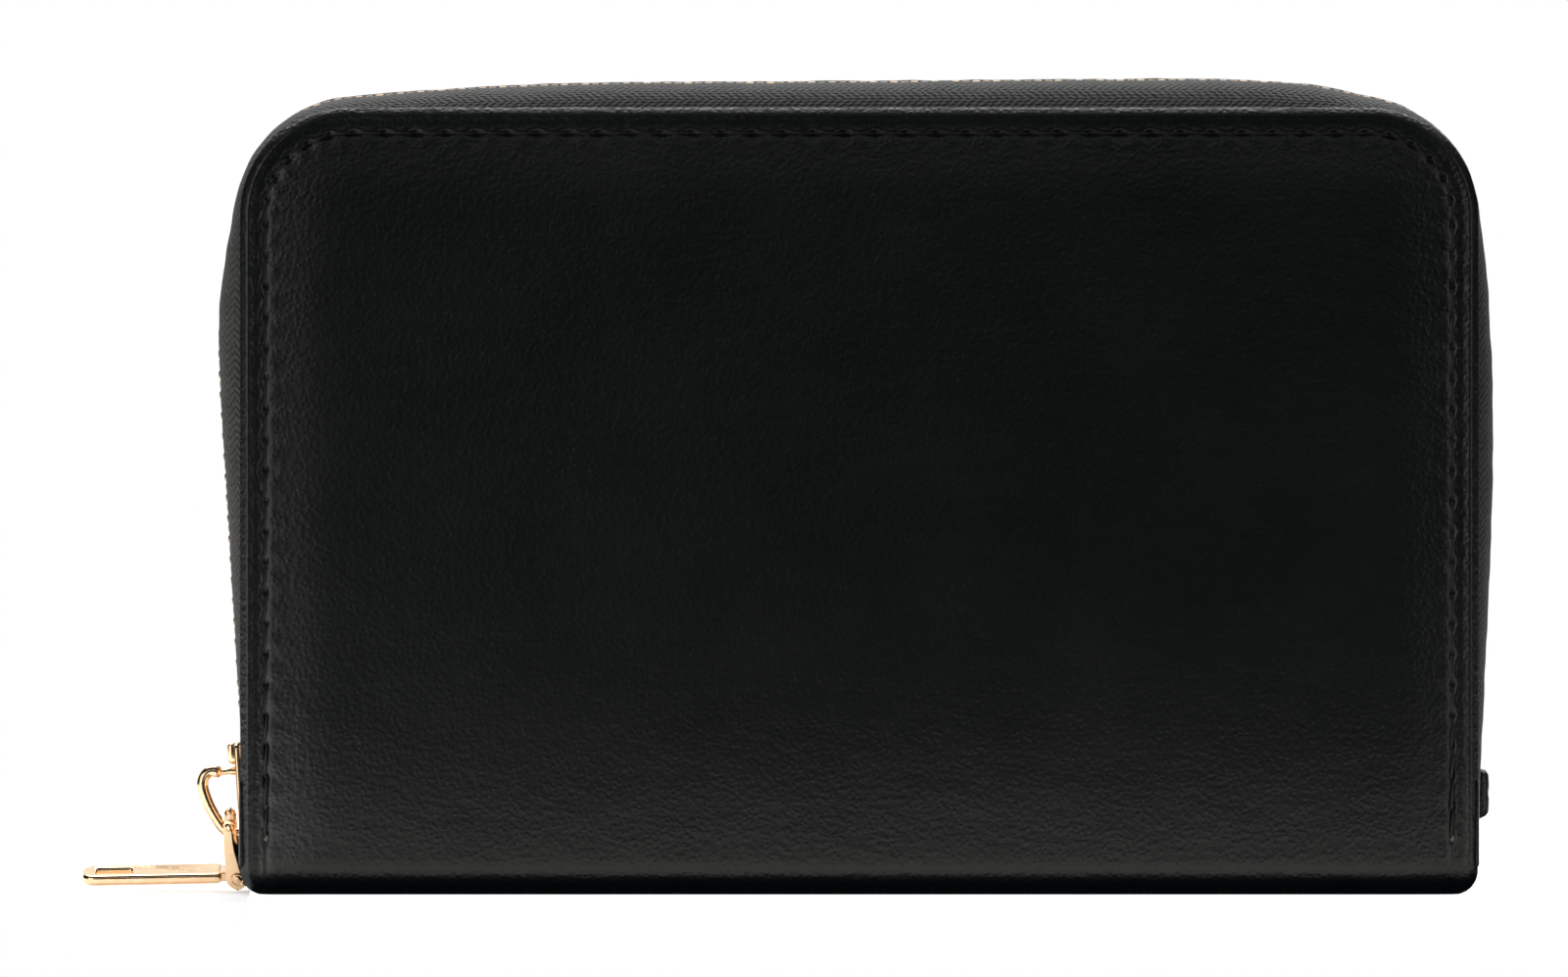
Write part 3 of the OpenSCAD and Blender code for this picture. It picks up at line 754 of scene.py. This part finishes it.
def rounded_outline(corners, steps=6):
    """Closed outline through (x, y, radius) corners, with each corner rounded off."""
    outline = []
    for i, (x, y, r) in enumerate(corners):
        here = Vector((x, y))
        back, on = (Vector(corners[k % len(corners)][:2]) - here for k in (i - 1, i + 1))
        if not r:
            outline.append(here)
            continue
        half = back.angle(on) / 2
        reach = min(r / math.tan(half), 0.49 * back.length, 0.49 * on.length)
        r = reach * math.tan(half)
        centre = here + (back.normalized() + on.normalized()).normalized() * (r / math.sin(half))
        start, end = here + back.normalized() * reach - centre, here + on.normalized() * reach - centre
        whole = start.angle(end)
        for k in range(steps + 1):
            swung = start * math.sin(whole * (1 - k / steps)) + end * math.sin(whole * k / steps)
            outline.append(centre + swung / math.sin(whole))
    return outline


def plain_outline(x0, x1, half, near, far, steps):
    """A rectangle from x0 to x1 that reaches this far to both sides, with the corner radii near x0 and near x1."""
    return rounded_outline([(x0, -half, near), (x1, -half, far), (x1, half, far), (x0, half, near)], steps)


def circle_outline(x, y, r, steps=28):
    return [Vector((x + r * math.cos(a), y + r * math.sin(a))) for a in (2 * math.pi * k / steps for k in range(steps))]


def drawn_in(outline, by):
    """The outline moved inwards by this much. The outline runs anticlockwise."""
    moved = []
    for i, here in enumerate(outline):
        back, on = here - outline[i - 1], outline[(i + 1) % len(outline)] - here
        in_a, in_b = Vector((-back.y, back.x)).normalized(), Vector((-on.y, on.x)).normalized()
        across = (in_a + in_b).normalized()
        moved.append(here + across * (by / max(0.5, across.dot(in_a))))
    return moved


def slab(build, outline, low, high, edge, holes=(), place=Matrix()):
    """A plate of this outline from low to high with rounded edges."""
    loops, starts = [outline, *holes], []
    levels = [(edge * (1 - math.sin(t)), low + edge * (1 - math.cos(t)))
              for t in (0, 0.52, 1.05, math.pi / 2)]
    levels += [(inset, low + high - z) for inset, z in reversed(levels)]
    for number, loop in enumerate(loops):
        starts.append(len(build.points))
        rings = [[(p.x, p.y, z) for p in drawn_in(loop, inset if number == 0 else -inset)] for inset, z in levels]
        build.rings(rings, place, caps=False)
    for level, flip in ((0, True), (len(levels) - 1, False)):
        ids = [starts[n] + level * len(loop) + k for n, loop in enumerate(loops) for k in range(len(loop))]
        flat = [[Vector((p.x, p.y, 0)) for p in drawn_in(loop, levels[level][0] * (1 if n == 0 else -1))]
                for n, loop in enumerate(loops)]
        for triangle in tessellate_polygon(flat):
            build.faces.append([ids[k] for k in (reversed(triangle) if flip else triangle)])


for half, side in (("front", -1), ("back", 1)):
    clip = Build()
    place = on_chain(0.7) @ Matrix.Translation((0, side * 2.33, -TOOTH_HIGH / 2))
    slab(clip, plain_outline(-0.55, 0.55, 0.6, 0.2, 0.2, 3), -0.3, 0.3, 0.12, place=place)
    stop = clip.piece(half + "_stop_clip", plated, 40)
    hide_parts(half + "_top_stop")
    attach(stop, half + "_half")

clamp = Build()
stop_low, stop_high = box_mm("zip_bottom_stop")
middle = (stop_low + stop_high) / 2
size = stop_high - stop_low
for z0, z1 in ((-size.z / 2, -0.12), (0.12, size.z / 2)):
    slab(clamp, plain_outline(-size.x / 2, size.x / 2, size.y / 2, 0.3, 0.7, 5), z0, z1, 0.16,
         place=Matrix.Translation(middle))
slab(clamp, plain_outline(0.1 - size.x / 2, size.x / 2 - 0.2, size.y / 2 - 0.2, 0.3, 0.6, 5), -0.3, 0.3, 0.05,
     place=Matrix.Translation(middle))
stop = clamp.piece("end_clamp", plated, 40)
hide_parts("zip_bottom_stop")
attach(stop, "spine")

tab_low, tab_high = box_mm("zip_end_tab")
tab_rings = []
tab_foot = 71.7
bulge_z, bulge_r = 12.05, 3.55
for z in [tab_low.z + v for v in stepped(tab_high.z - tab_low.z, 0.42)]:
    bulge = math.sqrt(max(0.0, 1 - min(1.0, abs(z - bulge_z) / bulge_r) ** 2))
    thick = 0.5 + 1.4 * min(1, max(0, (z - 7.4) / 1.6)) if z < bulge_z + bulge_r - 0.6 else 0.5 + 0.9 * bulge
    front = tab_foot + thick + 2.6 * min(1, bulge * 1.4) + 0.35 * bulge
    half = tab_high.y * (1 - 0.16 * (z > 14) * (z - 14) / 1.6) - 0.1 * bulge
    nick = 0.1 * math.exp(-((z - bulge_z) / 0.5) ** 2)
    tab_rings.append([(p.x - nick * (p.x > tab_foot + 2.3), p.y, z)
                      for p in plain_outline(tab_foot, front, half, 0.2, 0.8, 5)])
tab = Build()
tab.rings(tab_rings)
end_tab = tab.piece("end_tab", nappa, 60)
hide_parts("zip_end_tab")
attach(end_tab, "spine")

# ---- Zip slider ----
# A die cast and plated slider: two plates with turned-in flanges either side of a wedge post, narrow above
# where the closed chain comes out and wide below. On its outer plate a nose and a short pin carry the hook.
SLIDER_AT = 7.4
SLIDER_LONG = 11.6
RUN_TILT = math.atan(0.06)
slider_x, slider_z = tips(SLIDER_AT)
on_run = (Matrix.Translation((slider_x, 0, slider_z)) @ Matrix.Rotation(-math.pi / 2 - RUN_TILT, 4, "Y")
          @ Matrix.Rotation(math.pi, 4, "Z") @ Matrix.Translation((0, 0, -TOOTH_HIGH / 2)))


def on_side(way, corners):
    """Outline corners as they are for way 1, and mirrored for way -1."""
    return corners if way > 0 else [(x, -y, r) for x, y, r in reversed(corners)]


def cast_slider(build, place, long, wide, narrow, chain, gap, plate, lips):
    """Both plates, the flanges and the post of a slider that lies along X with its wide end at +X."""
    half = long / 2
    upper = rounded_outline([(-half, -narrow, 0.8), (half - 3, -wide, 2.5), (half, 1 - wide, 1.6),
                             (half, wide - 1, 1.6), (half - 3, wide, 2.5), (-half, narrow, 0.8)], 7)
    slab(build, upper, gap, gap + plate, 0.3, place=place)
    slab(build, drawn_in(upper, 0.15), -gap - plate, -gap, 0.25, place=place)
    for way in (-1, 1):
        strip = on_side(way,
                        [(-half + 0.3, chain, 0.1), (half - 1.2, chain, 0.3), (half - 1, wide - 1.1, 0.4),
                              (half - 3, wide - 0.12, 1.2), (-half + 0.3, narrow - 0.08, 0.4)])
        for low, high in ((lips, gap + 0.1), (-gap - 0.1, -lips)):
            slab(build, rounded_outline(strip, 4), low, high, 0.14, place=place)
    wedge = rounded_outline([(half - 5, 0, 0.12), (half - 3.4, -0.36, 0.15), (half - 2, -0.34, 0.2),
                             (half - 2, 0.34, 0.2), (half - 3.4, 0.36, 0.15)], 4)
    slab(build, wedge, -gap - 0.1, gap + 0.1, 0.05, place=place)


slider = Build()
cast_slider(slider, on_run, SLIDER_LONG, 4.55, 3.85, 3.2, 1.22, 0.68, 0.55)
nose = plain_outline(-SLIDER_LONG / 2, 2.6 - SLIDER_LONG / 2, 1.1, 0.4, 0.7, 5)
slab(slider, nose, 1.5, 2.8, 0.5, place=on_run)
slider.tube([(-2.35, 0, 1.6), (-2.35, 0, 2.6), (-2.3, 0, 3.6), (-2.2, 0, 4.1)], (0.6, 0.42, 0.36, 0.36),
            12, on_run)
slider_piece = slider.piece("slider_casting", plated, 40)
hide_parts("slider_body")
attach(slider_piece, "slider")

# ---- Hook ----
# An open hook of round wire, riveted to the slider's pin at its upper end and to the outer plate at its lower
# end. The link swings in its bend.
HOOK = [(-3.1, 14.6), (-3.9, 14.6), (-4.5, 14.1), (-4.75, 13.3), (-4.65, 12.3), (-4, 10.5), (-3.1, 8.9),
        (-2.3, 7.8),
        (-1.4, 7.2), (-0.2, 7.1)]


def smooth_line(keys, steps):
    """Points along a smooth line through all keys."""
    line = []
    for k in range(len(keys) - 1):
        a, b, c, d = (Vector(keys[min(max(k + j, 0), len(keys) - 1)]) for j in (-1, 0, 1, 2))
        for t in (j / steps for j in range(steps)):
            line.append(0.5 * (2 * b + (c - a) * t + (2 * a - 5 * b + 4 * c - d) * t * t
                               + (3 * b - a - 3 * c + d) * t ** 3))
    return line + [Vector(keys[-1])]


hook = Build()
hook_line = smooth_line([(x - half_w, 0, z) for x, z in HOOK], 5)
hook_radii = [0.72 + 0.06 * math.exp(-(i / 2.5) ** 2) - 0.04 * math.sin(math.pi * i / len(hook_line))
              for i in range(len(hook_line))]
hook.tube(hook_line, hook_radii, 16)
hook_piece = hook.piece("hook", plated, 60)
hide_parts("slider_bridge")
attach(hook_piece, "slider")

# ---- Link and rivet ----
# The forked link hangs from the hook by its cross bar and leans to one side. Its two cheeks hold a headed
# rivet that the pull bar turns on.
LINK_AT = (-half_w - 1.45, 0, 8.8)
LEAN = math.radians(17)
PIN_AT = (0.95, 0, -6.9)
on_link = Matrix.Translation(LINK_AT) @ Matrix.Rotation(LEAN, 4, "X")
upright = Matrix.Rotation(math.pi / 2, 4, "X")
arm_top, arm_foot = 0.75, 1.42
link = Build()
# Each cheek's left and right edge, down its length: (height, left, right)
arm = [(arm_top, 0, 0), (0.68, -0.31, 0.31), (0.4, -0.63, 0.63), (0, -0.75, 0.75), (-1.4, -0.74, 0.86),
       (-2.6, -0.72, 1.06), (-3.2, -0.69, 1.18), (-4.4, -0.63, 1.62), (-5.9, -0.5, 2.15)]
arm += [(PIN_AT[2] - arm_foot * math.sin(a), PIN_AT[0] - arm_foot * math.cos(a),
         PIN_AT[0] + arm_foot * math.cos(a))
        for a in (math.radians(11.25 * k) for k in range(9))]
cheek_section = ((0, 1.72), (0.12, 1.56), (0.88, 1.56), (1, 1.72), (1, 1.95), (0.7, 2.4),
                 (0.58, 2.44), (0, 2.0))
for way in (-1, 1):
    link.rings([[(left + t * (right - left), y * way, z) for t, y in cheek_section] for z, left, right in arm], on_link)
link.tube([(0, y, -0.25 * (y / 2.0) ** 4) for y in (-2.05, -1.7, -1.2, -0.6, 0, 0.6, 1.2, 1.7, 2.05)],
          (0.62, 0.56, 0.5, 0.48, 0.48, 0.48, 0.5, 0.56, 0.62), 14, on_link)
link_piece = link.piece("link", plated, 40)
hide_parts("pull_link")
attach(link_piece, "link")

rivet = Build()
head = [(0.85, 2.4), (0.85, 2.46), (0.78, 2.58), (0.67, 2.64), (0.6, 2.6), (0.54, 2.6), (0.5, 2.68),
        (0.3, 2.76),
        (0.02, 2.8)]
profile = [(r, -z) for r, z in reversed(head)] + [(0.6, -2.35), (0.59, 0), (0.6, 2.35)] + head
rivet.rings([[(p.x, p.y, z) for p in circle_outline(0, 0, r, 32)] for r, z in profile],
            on_link @ Matrix.Translation(PIN_AT) @ upright)
rivet_piece = rivet.piece("rivet", plated, 35)
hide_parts("pull_pin")
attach(rivet_piece, "link")

# ---- Pull bar ----
# A flat cast bar that lies out to the side on its rivet, with soft corners, a slot near the tip and a
# narrower neck that is rolled round the rivet.
BAR_LONG, BAR_WIDE, BAR_THICK = 18.9, 4.5, 1.3
DROOP = math.radians(1.2)
on_pin = on_link @ Matrix.Translation(PIN_AT) @ Matrix.Rotation(-DROOP, 4, "Y")
bar = Build()
slot_hole = plain_outline(-17.2, -12.9, 0.95, 0.3, 0.3, 5)
slab(bar, plain_outline(-BAR_LONG, -1.95, BAR_WIDE / 2, 1.6, 0.5, 9), -BAR_THICK / 2, BAR_THICK / 2, 0.46,
     [slot_hole], on_pin)
slab(bar, plain_outline(-3.4, -0.75, 1.44, 0.1, 0.1, 3), -0.56, 0.56, 0.15, place=on_pin)
slab(bar, circle_outline(0, 0, 1.18, 36), -1.44, 1.44, 0.16, [circle_outline(0, 0, 0.67, 36)],
     on_pin @ upright)
bar_piece = bar.piece("pull_bar_casting", plated, 40)
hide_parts("pull_bar")
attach(bar_piece, "bar")

# ---- Linings and pockets of the covers ----
# Each cover is lined with twill that runs on round the fold. On it lie a slip pocket and four card slots, cut
# from thin split leather, each with a turned hem and one row of stitching along its top.
thin_leather = Finish("pocket_leather", roughness=0.5)
pocket_grain = {"Vector": thin_leather.place, "Scale": 1 / (0.9 * MM), "Smoothness": 0.5}
pocket_cells = thin_leather.place.node("ShaderNodeTexVoronoi", pocket_grain, feature="SMOOTH_F1")
pocket_tone = thin_leather.noise(12, 3)
thin_leather.feed("Base Color", (pocket_tone * 0.7 + pocket_cells * 0.3).ramp((0.3, (0.012, 0.012, 0.014)),
                                                                              (0.7, (0.024, 0.024, 0.027))))
thin_leather.feed("Roughness", pocket_tone * 0.15 + 0.42)
thin_leather.bump(1 - pocket_cells + thin_leather.noise(0.3, 2) * 0.4, 0.04)


def hemmed_panel(name, outline_rows, face, side, finish, thick, top, seed, hem=3.2):
    """An upright pocket panel whose outer face lies this far from the middle plane, with a turned hem along its top."""
    rows = []
    for row in outline_rows:
        line = []
        for x, z in row:
            swell = 0.09 * noise.noise(Vector((x / 19, z / 13, seed)))
            hem_rise = 0.09 / (1 + math.exp((top - hem - z) * 6))
            line.append((x, side * (face + thick / 2 - swell * 0.6 - hem_rise), z))
        rows.append(line)
    return sheet_piece(name, rows, finish, thick)


FINE_PITCH = 2.6


def top_seam(build, x0, x1, z, face, side):
    """A row of fine stitches along a hem."""
    for i in range(int((x1 - x0) / FINE_PITCH)):
        a, b = x0 + i * FINE_PITCH, x0 + (i + 1) * FINE_PITCH
        build.tube([(a + 0.25, side * (face + 0.12), z), (a + 0.6, side * (face - 0.06), z),
                    (b - 0.6, side * (face - 0.06), z + 0.05), (b - 0.25, side * (face + 0.12), z + 0.05)], 0.12, 5)


def side_seam(build, z0, z1, x, face, side):
    """A row of fine stitches up the side of a card slot."""
    for i in range(int((z1 - z0) / FINE_PITCH)):
        a, b = z0 + i * FINE_PITCH, z0 + (i + 1) * FINE_PITCH
        build.tube([(x, side * (face + 0.12), a + 0.25), (x, side * (face - 0.06), a + 0.6),
                    (x, side * (face - 0.06), b - 0.6), (x, side * (face + 0.12), b - 0.25)], 0.12, 5)


for half, side in (("front", -1), ("back", 1)):
    lining_low, lining_high = box_mm(half + "_lining")
    face = min(abs(lining_low.y), abs(lining_high.y))
    top = top_z - 2.2
    rows = [[(x, side * (face + 0.2 - 0.05 * noise.noise(Vector((x / 15, z / 11, side)))), z) for x, z in row]
            for row in rounded_panel(-half_w + 2.2, half_w - 2.2, 6.2, top, 11, 2.6, 0.3)]
    turn_rows = []
    for k in range(7):
        turn = math.pi / 2 * k / 7
        y = half_t - FOLD_R + (face + 0.2 - half_t + FOLD_R) * math.sin(turn)
        z = 6.2 - 3.9 * math.cos(turn)
        turn_rows.append([(x * (1 - 0.012 * math.cos(turn)), side * y, z) for x, _, _ in rows[0]])
    lining = sheet_piece(half + "_lining_cloth", turn_rows + rows, lining_cloth, 0.32)
    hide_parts(half + "_lining")
    half + "_board"
    half + "_half"
    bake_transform(lining)

    seams = Build()
    slip_low, slip_high = box_mm(half + "_slip_pocket")
    slip_face = min(abs(slip_low.y), abs(slip_high.y))
    panel = hemmed_panel(half + "_slip_panel",
                         rounded_panel(slip_low.x, slip_high.x, slip_low.z, slip_high.z, 3, 2.2),
                         slip_face, side, thin_leather, 0.4, slip_high.z, 3 * side)
    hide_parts(half + "_slip_pocket")
    half + "_lining_cloth"
    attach(panel, half + "_half")
    top_seam(seams, slip_low.x + 3, slip_high.x - 3, slip_high.z - 2.4, slip_face, side)
    for number in (1, 2, 3, 4):
        node = f"{half}_card_slot_{number}"
        low, high = box_mm(node)
        card_face = min(abs(low.y), abs(high.y))
        panel = hemmed_panel(node.replace("slot", "panel"),
                             rounded_panel(low.x, high.x, low.z, high.z, 1.5, 2.2),
                             card_face, side, thin_leather, 0.4, high.z, 5.5 * number * side, 2.8)
        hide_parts(node)
        half + "_slip_panel"
        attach(panel, half + "_half")
        top_seam(seams, low.x + 3, high.x - 3, high.z - 2.1, card_face, side)
        if number == 4:
            for x in (low.x + 1.8, high.x - 1.8):
                side_seam(seams, low.z + 1, high.z - 2.5, x, card_face, side)
    row = seams.piece(half + "_pocket_thread", thread)
    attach(row, half + "_half")

# ---- Gussets ----
# Twill leaves folded like an accordion at both ends of each compartment. In the wallet one edge is sewn to the coin
# pocket and the other to the cover's slip pocket, so that the covers open like a fan and stop there; here the leaves
# are built as they lie when it is shut.
GUSSET_PLAN = [
    (57, 0), (62, 0), (66.4, 0.02), (67.2, 0.1), (66.4, 0.2), (58, 0.245), (51.2, 0.25), (50.3, 0.3), (51.2, 0.36),
    (59, 0.44), (66.4, 0.46), (67.2, 0.5), (66.4, 0.54), (59, 0.56), (51.2, 0.64), (50.3, 0.7), (51.2, 0.75),
    (58, 0.755), (66.4, 0.8), (67.2, 0.9), (66.4, 0.98), (62, 1), (57, 1)]
for half, side in (("front", -1), ("back", 1)):
    for end, way in (("left", -1), ("right", 1)):
        node = f"{half}_gusset_{end}"
        low, high = box_mm(node)
        near, far = sorted((abs(low.y), abs(high.y)))
        near, far = near + 0.25, far - 0.25
        plan = smooth_line([(x, near + (far - near) * t) for x, t in GUSSET_PLAN], 3)
        rows = []
        for z in [low.z + v for v in stepped(high.z - low.z, 3)]:
            sag = 0.5 * math.sin(math.pi * (z - low.z) / (high.z - low.z))
            rows.append([(way * (p.x - sag * math.sin(math.pi * i / (len(plan) - 1))
                                 + 0.12 * noise.noise(Vector((i / 4, z / 8, way * side)))), side * p.y, z)
                         for i, p in enumerate(plan)])
        gusset = sheet_piece(half + "_gusset_cloth_" + end, rows, lining_cloth, 0.28)
        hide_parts(node)
        across = sum((b - a).length for a, b in zip(plan, plan[1:]))
        half + "_slip_panel"
        half + "_half"
        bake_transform(gusset)

# ---- Coin pocket ----
# The divider: two twill walls sewn together along the base and both ends, bound at the top with a narrow zip
# of its own. Its tapes turn in over the walls and carry fine plated teeth.
coin_low, coin_high = box_mm("coin_front_wall")
wall_out = abs(coin_low.y)
coin_x, coin_base, coin_top = coin_high.x, coin_low.z, coin_high.z
for half, side in (("front", -1), ("back", 1)):
    rows = []
    for row in rounded_panel(-coin_x, coin_x, coin_base + 0.2, coin_top, 0.6, 2.4, 1.0):
        rows.append([(x, side * (wall_out - 0.25 + 0.1 * noise.noise(Vector((x / 17, z / 14, 3 * side)))
                                 + 0.06 * math.exp(-((z - coin_top + 1.8) / 1.6) ** 2)), z) for x, z in row])
    wall = sheet_piece(f"coin_{half}_panel", rows, lining_cloth, 0.4)
    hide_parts(f"coin_{half}_wall")
    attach(wall, "spine")
    seams = Build()
    top_seam(seams, -coin_x + 2, coin_x - 2, coin_top - 1.7, wall_out - 0.1, side)
    row = seams.piece(f"coin_{half}_thread", thread)
    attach(row, "spine")

side_high = box_mm("coin_side_right")[1]
base_low, base_high = box_mm("coin_base")
bend = (0.26, 0.52, 0.79, 1.05, 1.31)
down = stepped(side_high.z - base_low.z - 3, 2.5)
band_line = [(0.25 - side_high.x, side_high.z - v) for v in down]
band_line += [(3.25 - side_high.x - 3 * math.cos(a), base_low.z + 3.25 - 3 * math.sin(a)) for a in bend]
band_line += [(3.25 - side_high.x + v, base_low.z + 0.25) for v in stepped(2 * side_high.x - 6.5, 3)]
band_line += [(side_high.x - 3.25 + 3 * math.sin(a), base_low.z + 3.25 - 3 * math.cos(a)) for a in bend]
band_line += [(side_high.x - 0.25, base_low.z + 3 + v) for v in down]
ring = []
for x, z in band_line:
    ring.append([(x + 0.5 * (1 - (y / base_high.y) ** 2) * (-1 if x > coin_x - 1 else 1 if x < 1 - coin_x else 0), y, z)
                 for y in (base_low.y + (base_high.y - base_low.y) * k / 6 for k in range(7))])
coin_band = sheet_piece("coin_gusset", ring, lining_cloth, 0.4)
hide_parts("coin_side_left", "coin_side_right", "coin_base")
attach(coin_band, "spine")

COIN_PITCH, COIN_HIGH = 2.2, 1.6
coin_chain_z = coin_top + 0.2
for half, side in (("front", -1), ("back", 1)):
    tape_low, tape_high = box_mm(f"coin_{half}_tape")
    line = smooth_line([(wall_out - 0.72, tape_low.z - 2.8), (wall_out - 0.72, tape_low.z + 2.5),
                        (wall_out - 0.7, tape_high.z - 1.6), (wall_out - 0.55, tape_high.z - 0.55),
                        (wall_out - 0.85, tape_high.z - 0.2), (2.2, tape_high.z - 0.2)], 4)
    rows, uv = [], []
    for x in [tape_low.x + v for v in stepped(tape_high.x - tape_low.x, 1.6)]:
        rows.append([(x, side * (p.x + 0.03 * noise.noise(Vector((x / 4, i, side)))), p.y) for i, p in enumerate(line)])
        uv += [(i * 0.45, x + 100) for i in range(len(line))]
    tape = sheet_piece(f"coin_{half}_zip_cloth", rows, woven, 0.34, uv)
    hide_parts(f"coin_{half}_tape")
    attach(tape, "spine")
    low, high = box_mm(f"coin_{half}_teeth")
    chain = Build()
    for i in range(round((high.x - low.x - 0.85) / COIN_PITCH) + 1):
        place = Matrix.Translation((low.x + 0.425 + i * COIN_PITCH, 0, coin_chain_z + COIN_HIGH / 2))
        tooth(chain, place, side, 0.98, COIN_HIGH, 0.5, 2.05)
    row = chain.piece(f"coin_{half}_chain", plated, 35)
    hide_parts(f"coin_{half}_teeth")
    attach(row, "spine")

ends = Build()
for x in (-coin_x + 2.6, coin_x - 2.6):
    place = Matrix.Translation((x, 0, coin_chain_z))
    for z0, z1 in ((-0.6, -0.06), (0.06, 0.6)):
        slab(ends, plain_outline(-0.6, 0.6, 2, 0.3, 0.3, 4), z0, z1, 0.14, place=place)
    slab(ends, plain_outline(-0.5, 0.5, 1.8, 0.3, 0.3, 4), -0.3, 0.3, 0.05, place=place)
coin_ends = ends.piece("coin_end_clamps", plated, 40)
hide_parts("coin_end_stops")
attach(coin_ends, "spine")

# ---- Coin pocket slider and pull ----
# A small cast slider with a lug on its plate. Its pull is a forked plate with an open eye, which lies flat
# along the chain on the pivot pin.
slide_low, slide_high = box_mm("coin_slider")
coin_slider_x = (slide_low.x + slide_high.x) / 2
on_coin_run = Matrix.Translation((coin_slider_x, 0, coin_chain_z))
small = Build()
cast_slider(small, on_coin_run, 8, 3.35, 2.95, 2.2, 0.9, 0.65, 0.4)
pivot_z = 2.7
lug = rounded_outline([(-1.4, 1.0, 0.1), (1.4, 1.0, 0.1), (1.4, pivot_z + 1.05, 1.2),
                       (-1.4, pivot_z + 1.05, 1.2)], 7)
slab(small, lug, -0.5, 0.5, 0.16, [circle_outline(0, pivot_z, 0.57, 24)], on_coin_run @ upright)
coin_slider_piece = small.piece("coin_slider_casting", plated, 40)
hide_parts("coin_slider")
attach(coin_slider_piece, "coin_zip_slider")

on_coin_pivot = Matrix.Translation((coin_slider_x, 0, coin_chain_z + pivot_z))
pull = Build()
pull.tube([(0, y, 0) for y in (-1.5, -1, 0, 1, 1.5)], 0.5, 14, on_coin_pivot)
for way in (-1, 1):
    strip = on_side(way, [(-0.6, 0.8, 0.35), (3.6, 0.8, 0.1), (3.6, 1.6, 0.1), (-0.6, 1.6, 0.35)])
    slab(pull, rounded_outline(strip, 5), -0.42, 0.42, 0.16, place=on_coin_pivot)
leaf = rounded_outline([(2.9, -1.6, 0.3), (9, -1.35, 3), (14.5, -1.6, 1.55), (14.5, 1.6, 1.55), (9, 1.35, 3),
                        (2.9, 1.6, 0.3)], 8)
slab(pull, leaf, -0.42, 0.42, 0.2, [circle_outline(12.7, 0, 0.75, 24)], on_coin_pivot)
coin_pull_piece = pull.piece("coin_pull_plate", plated, 40)
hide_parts("coin_pull")
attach(coin_pull_piece, "coin_zip_pull")
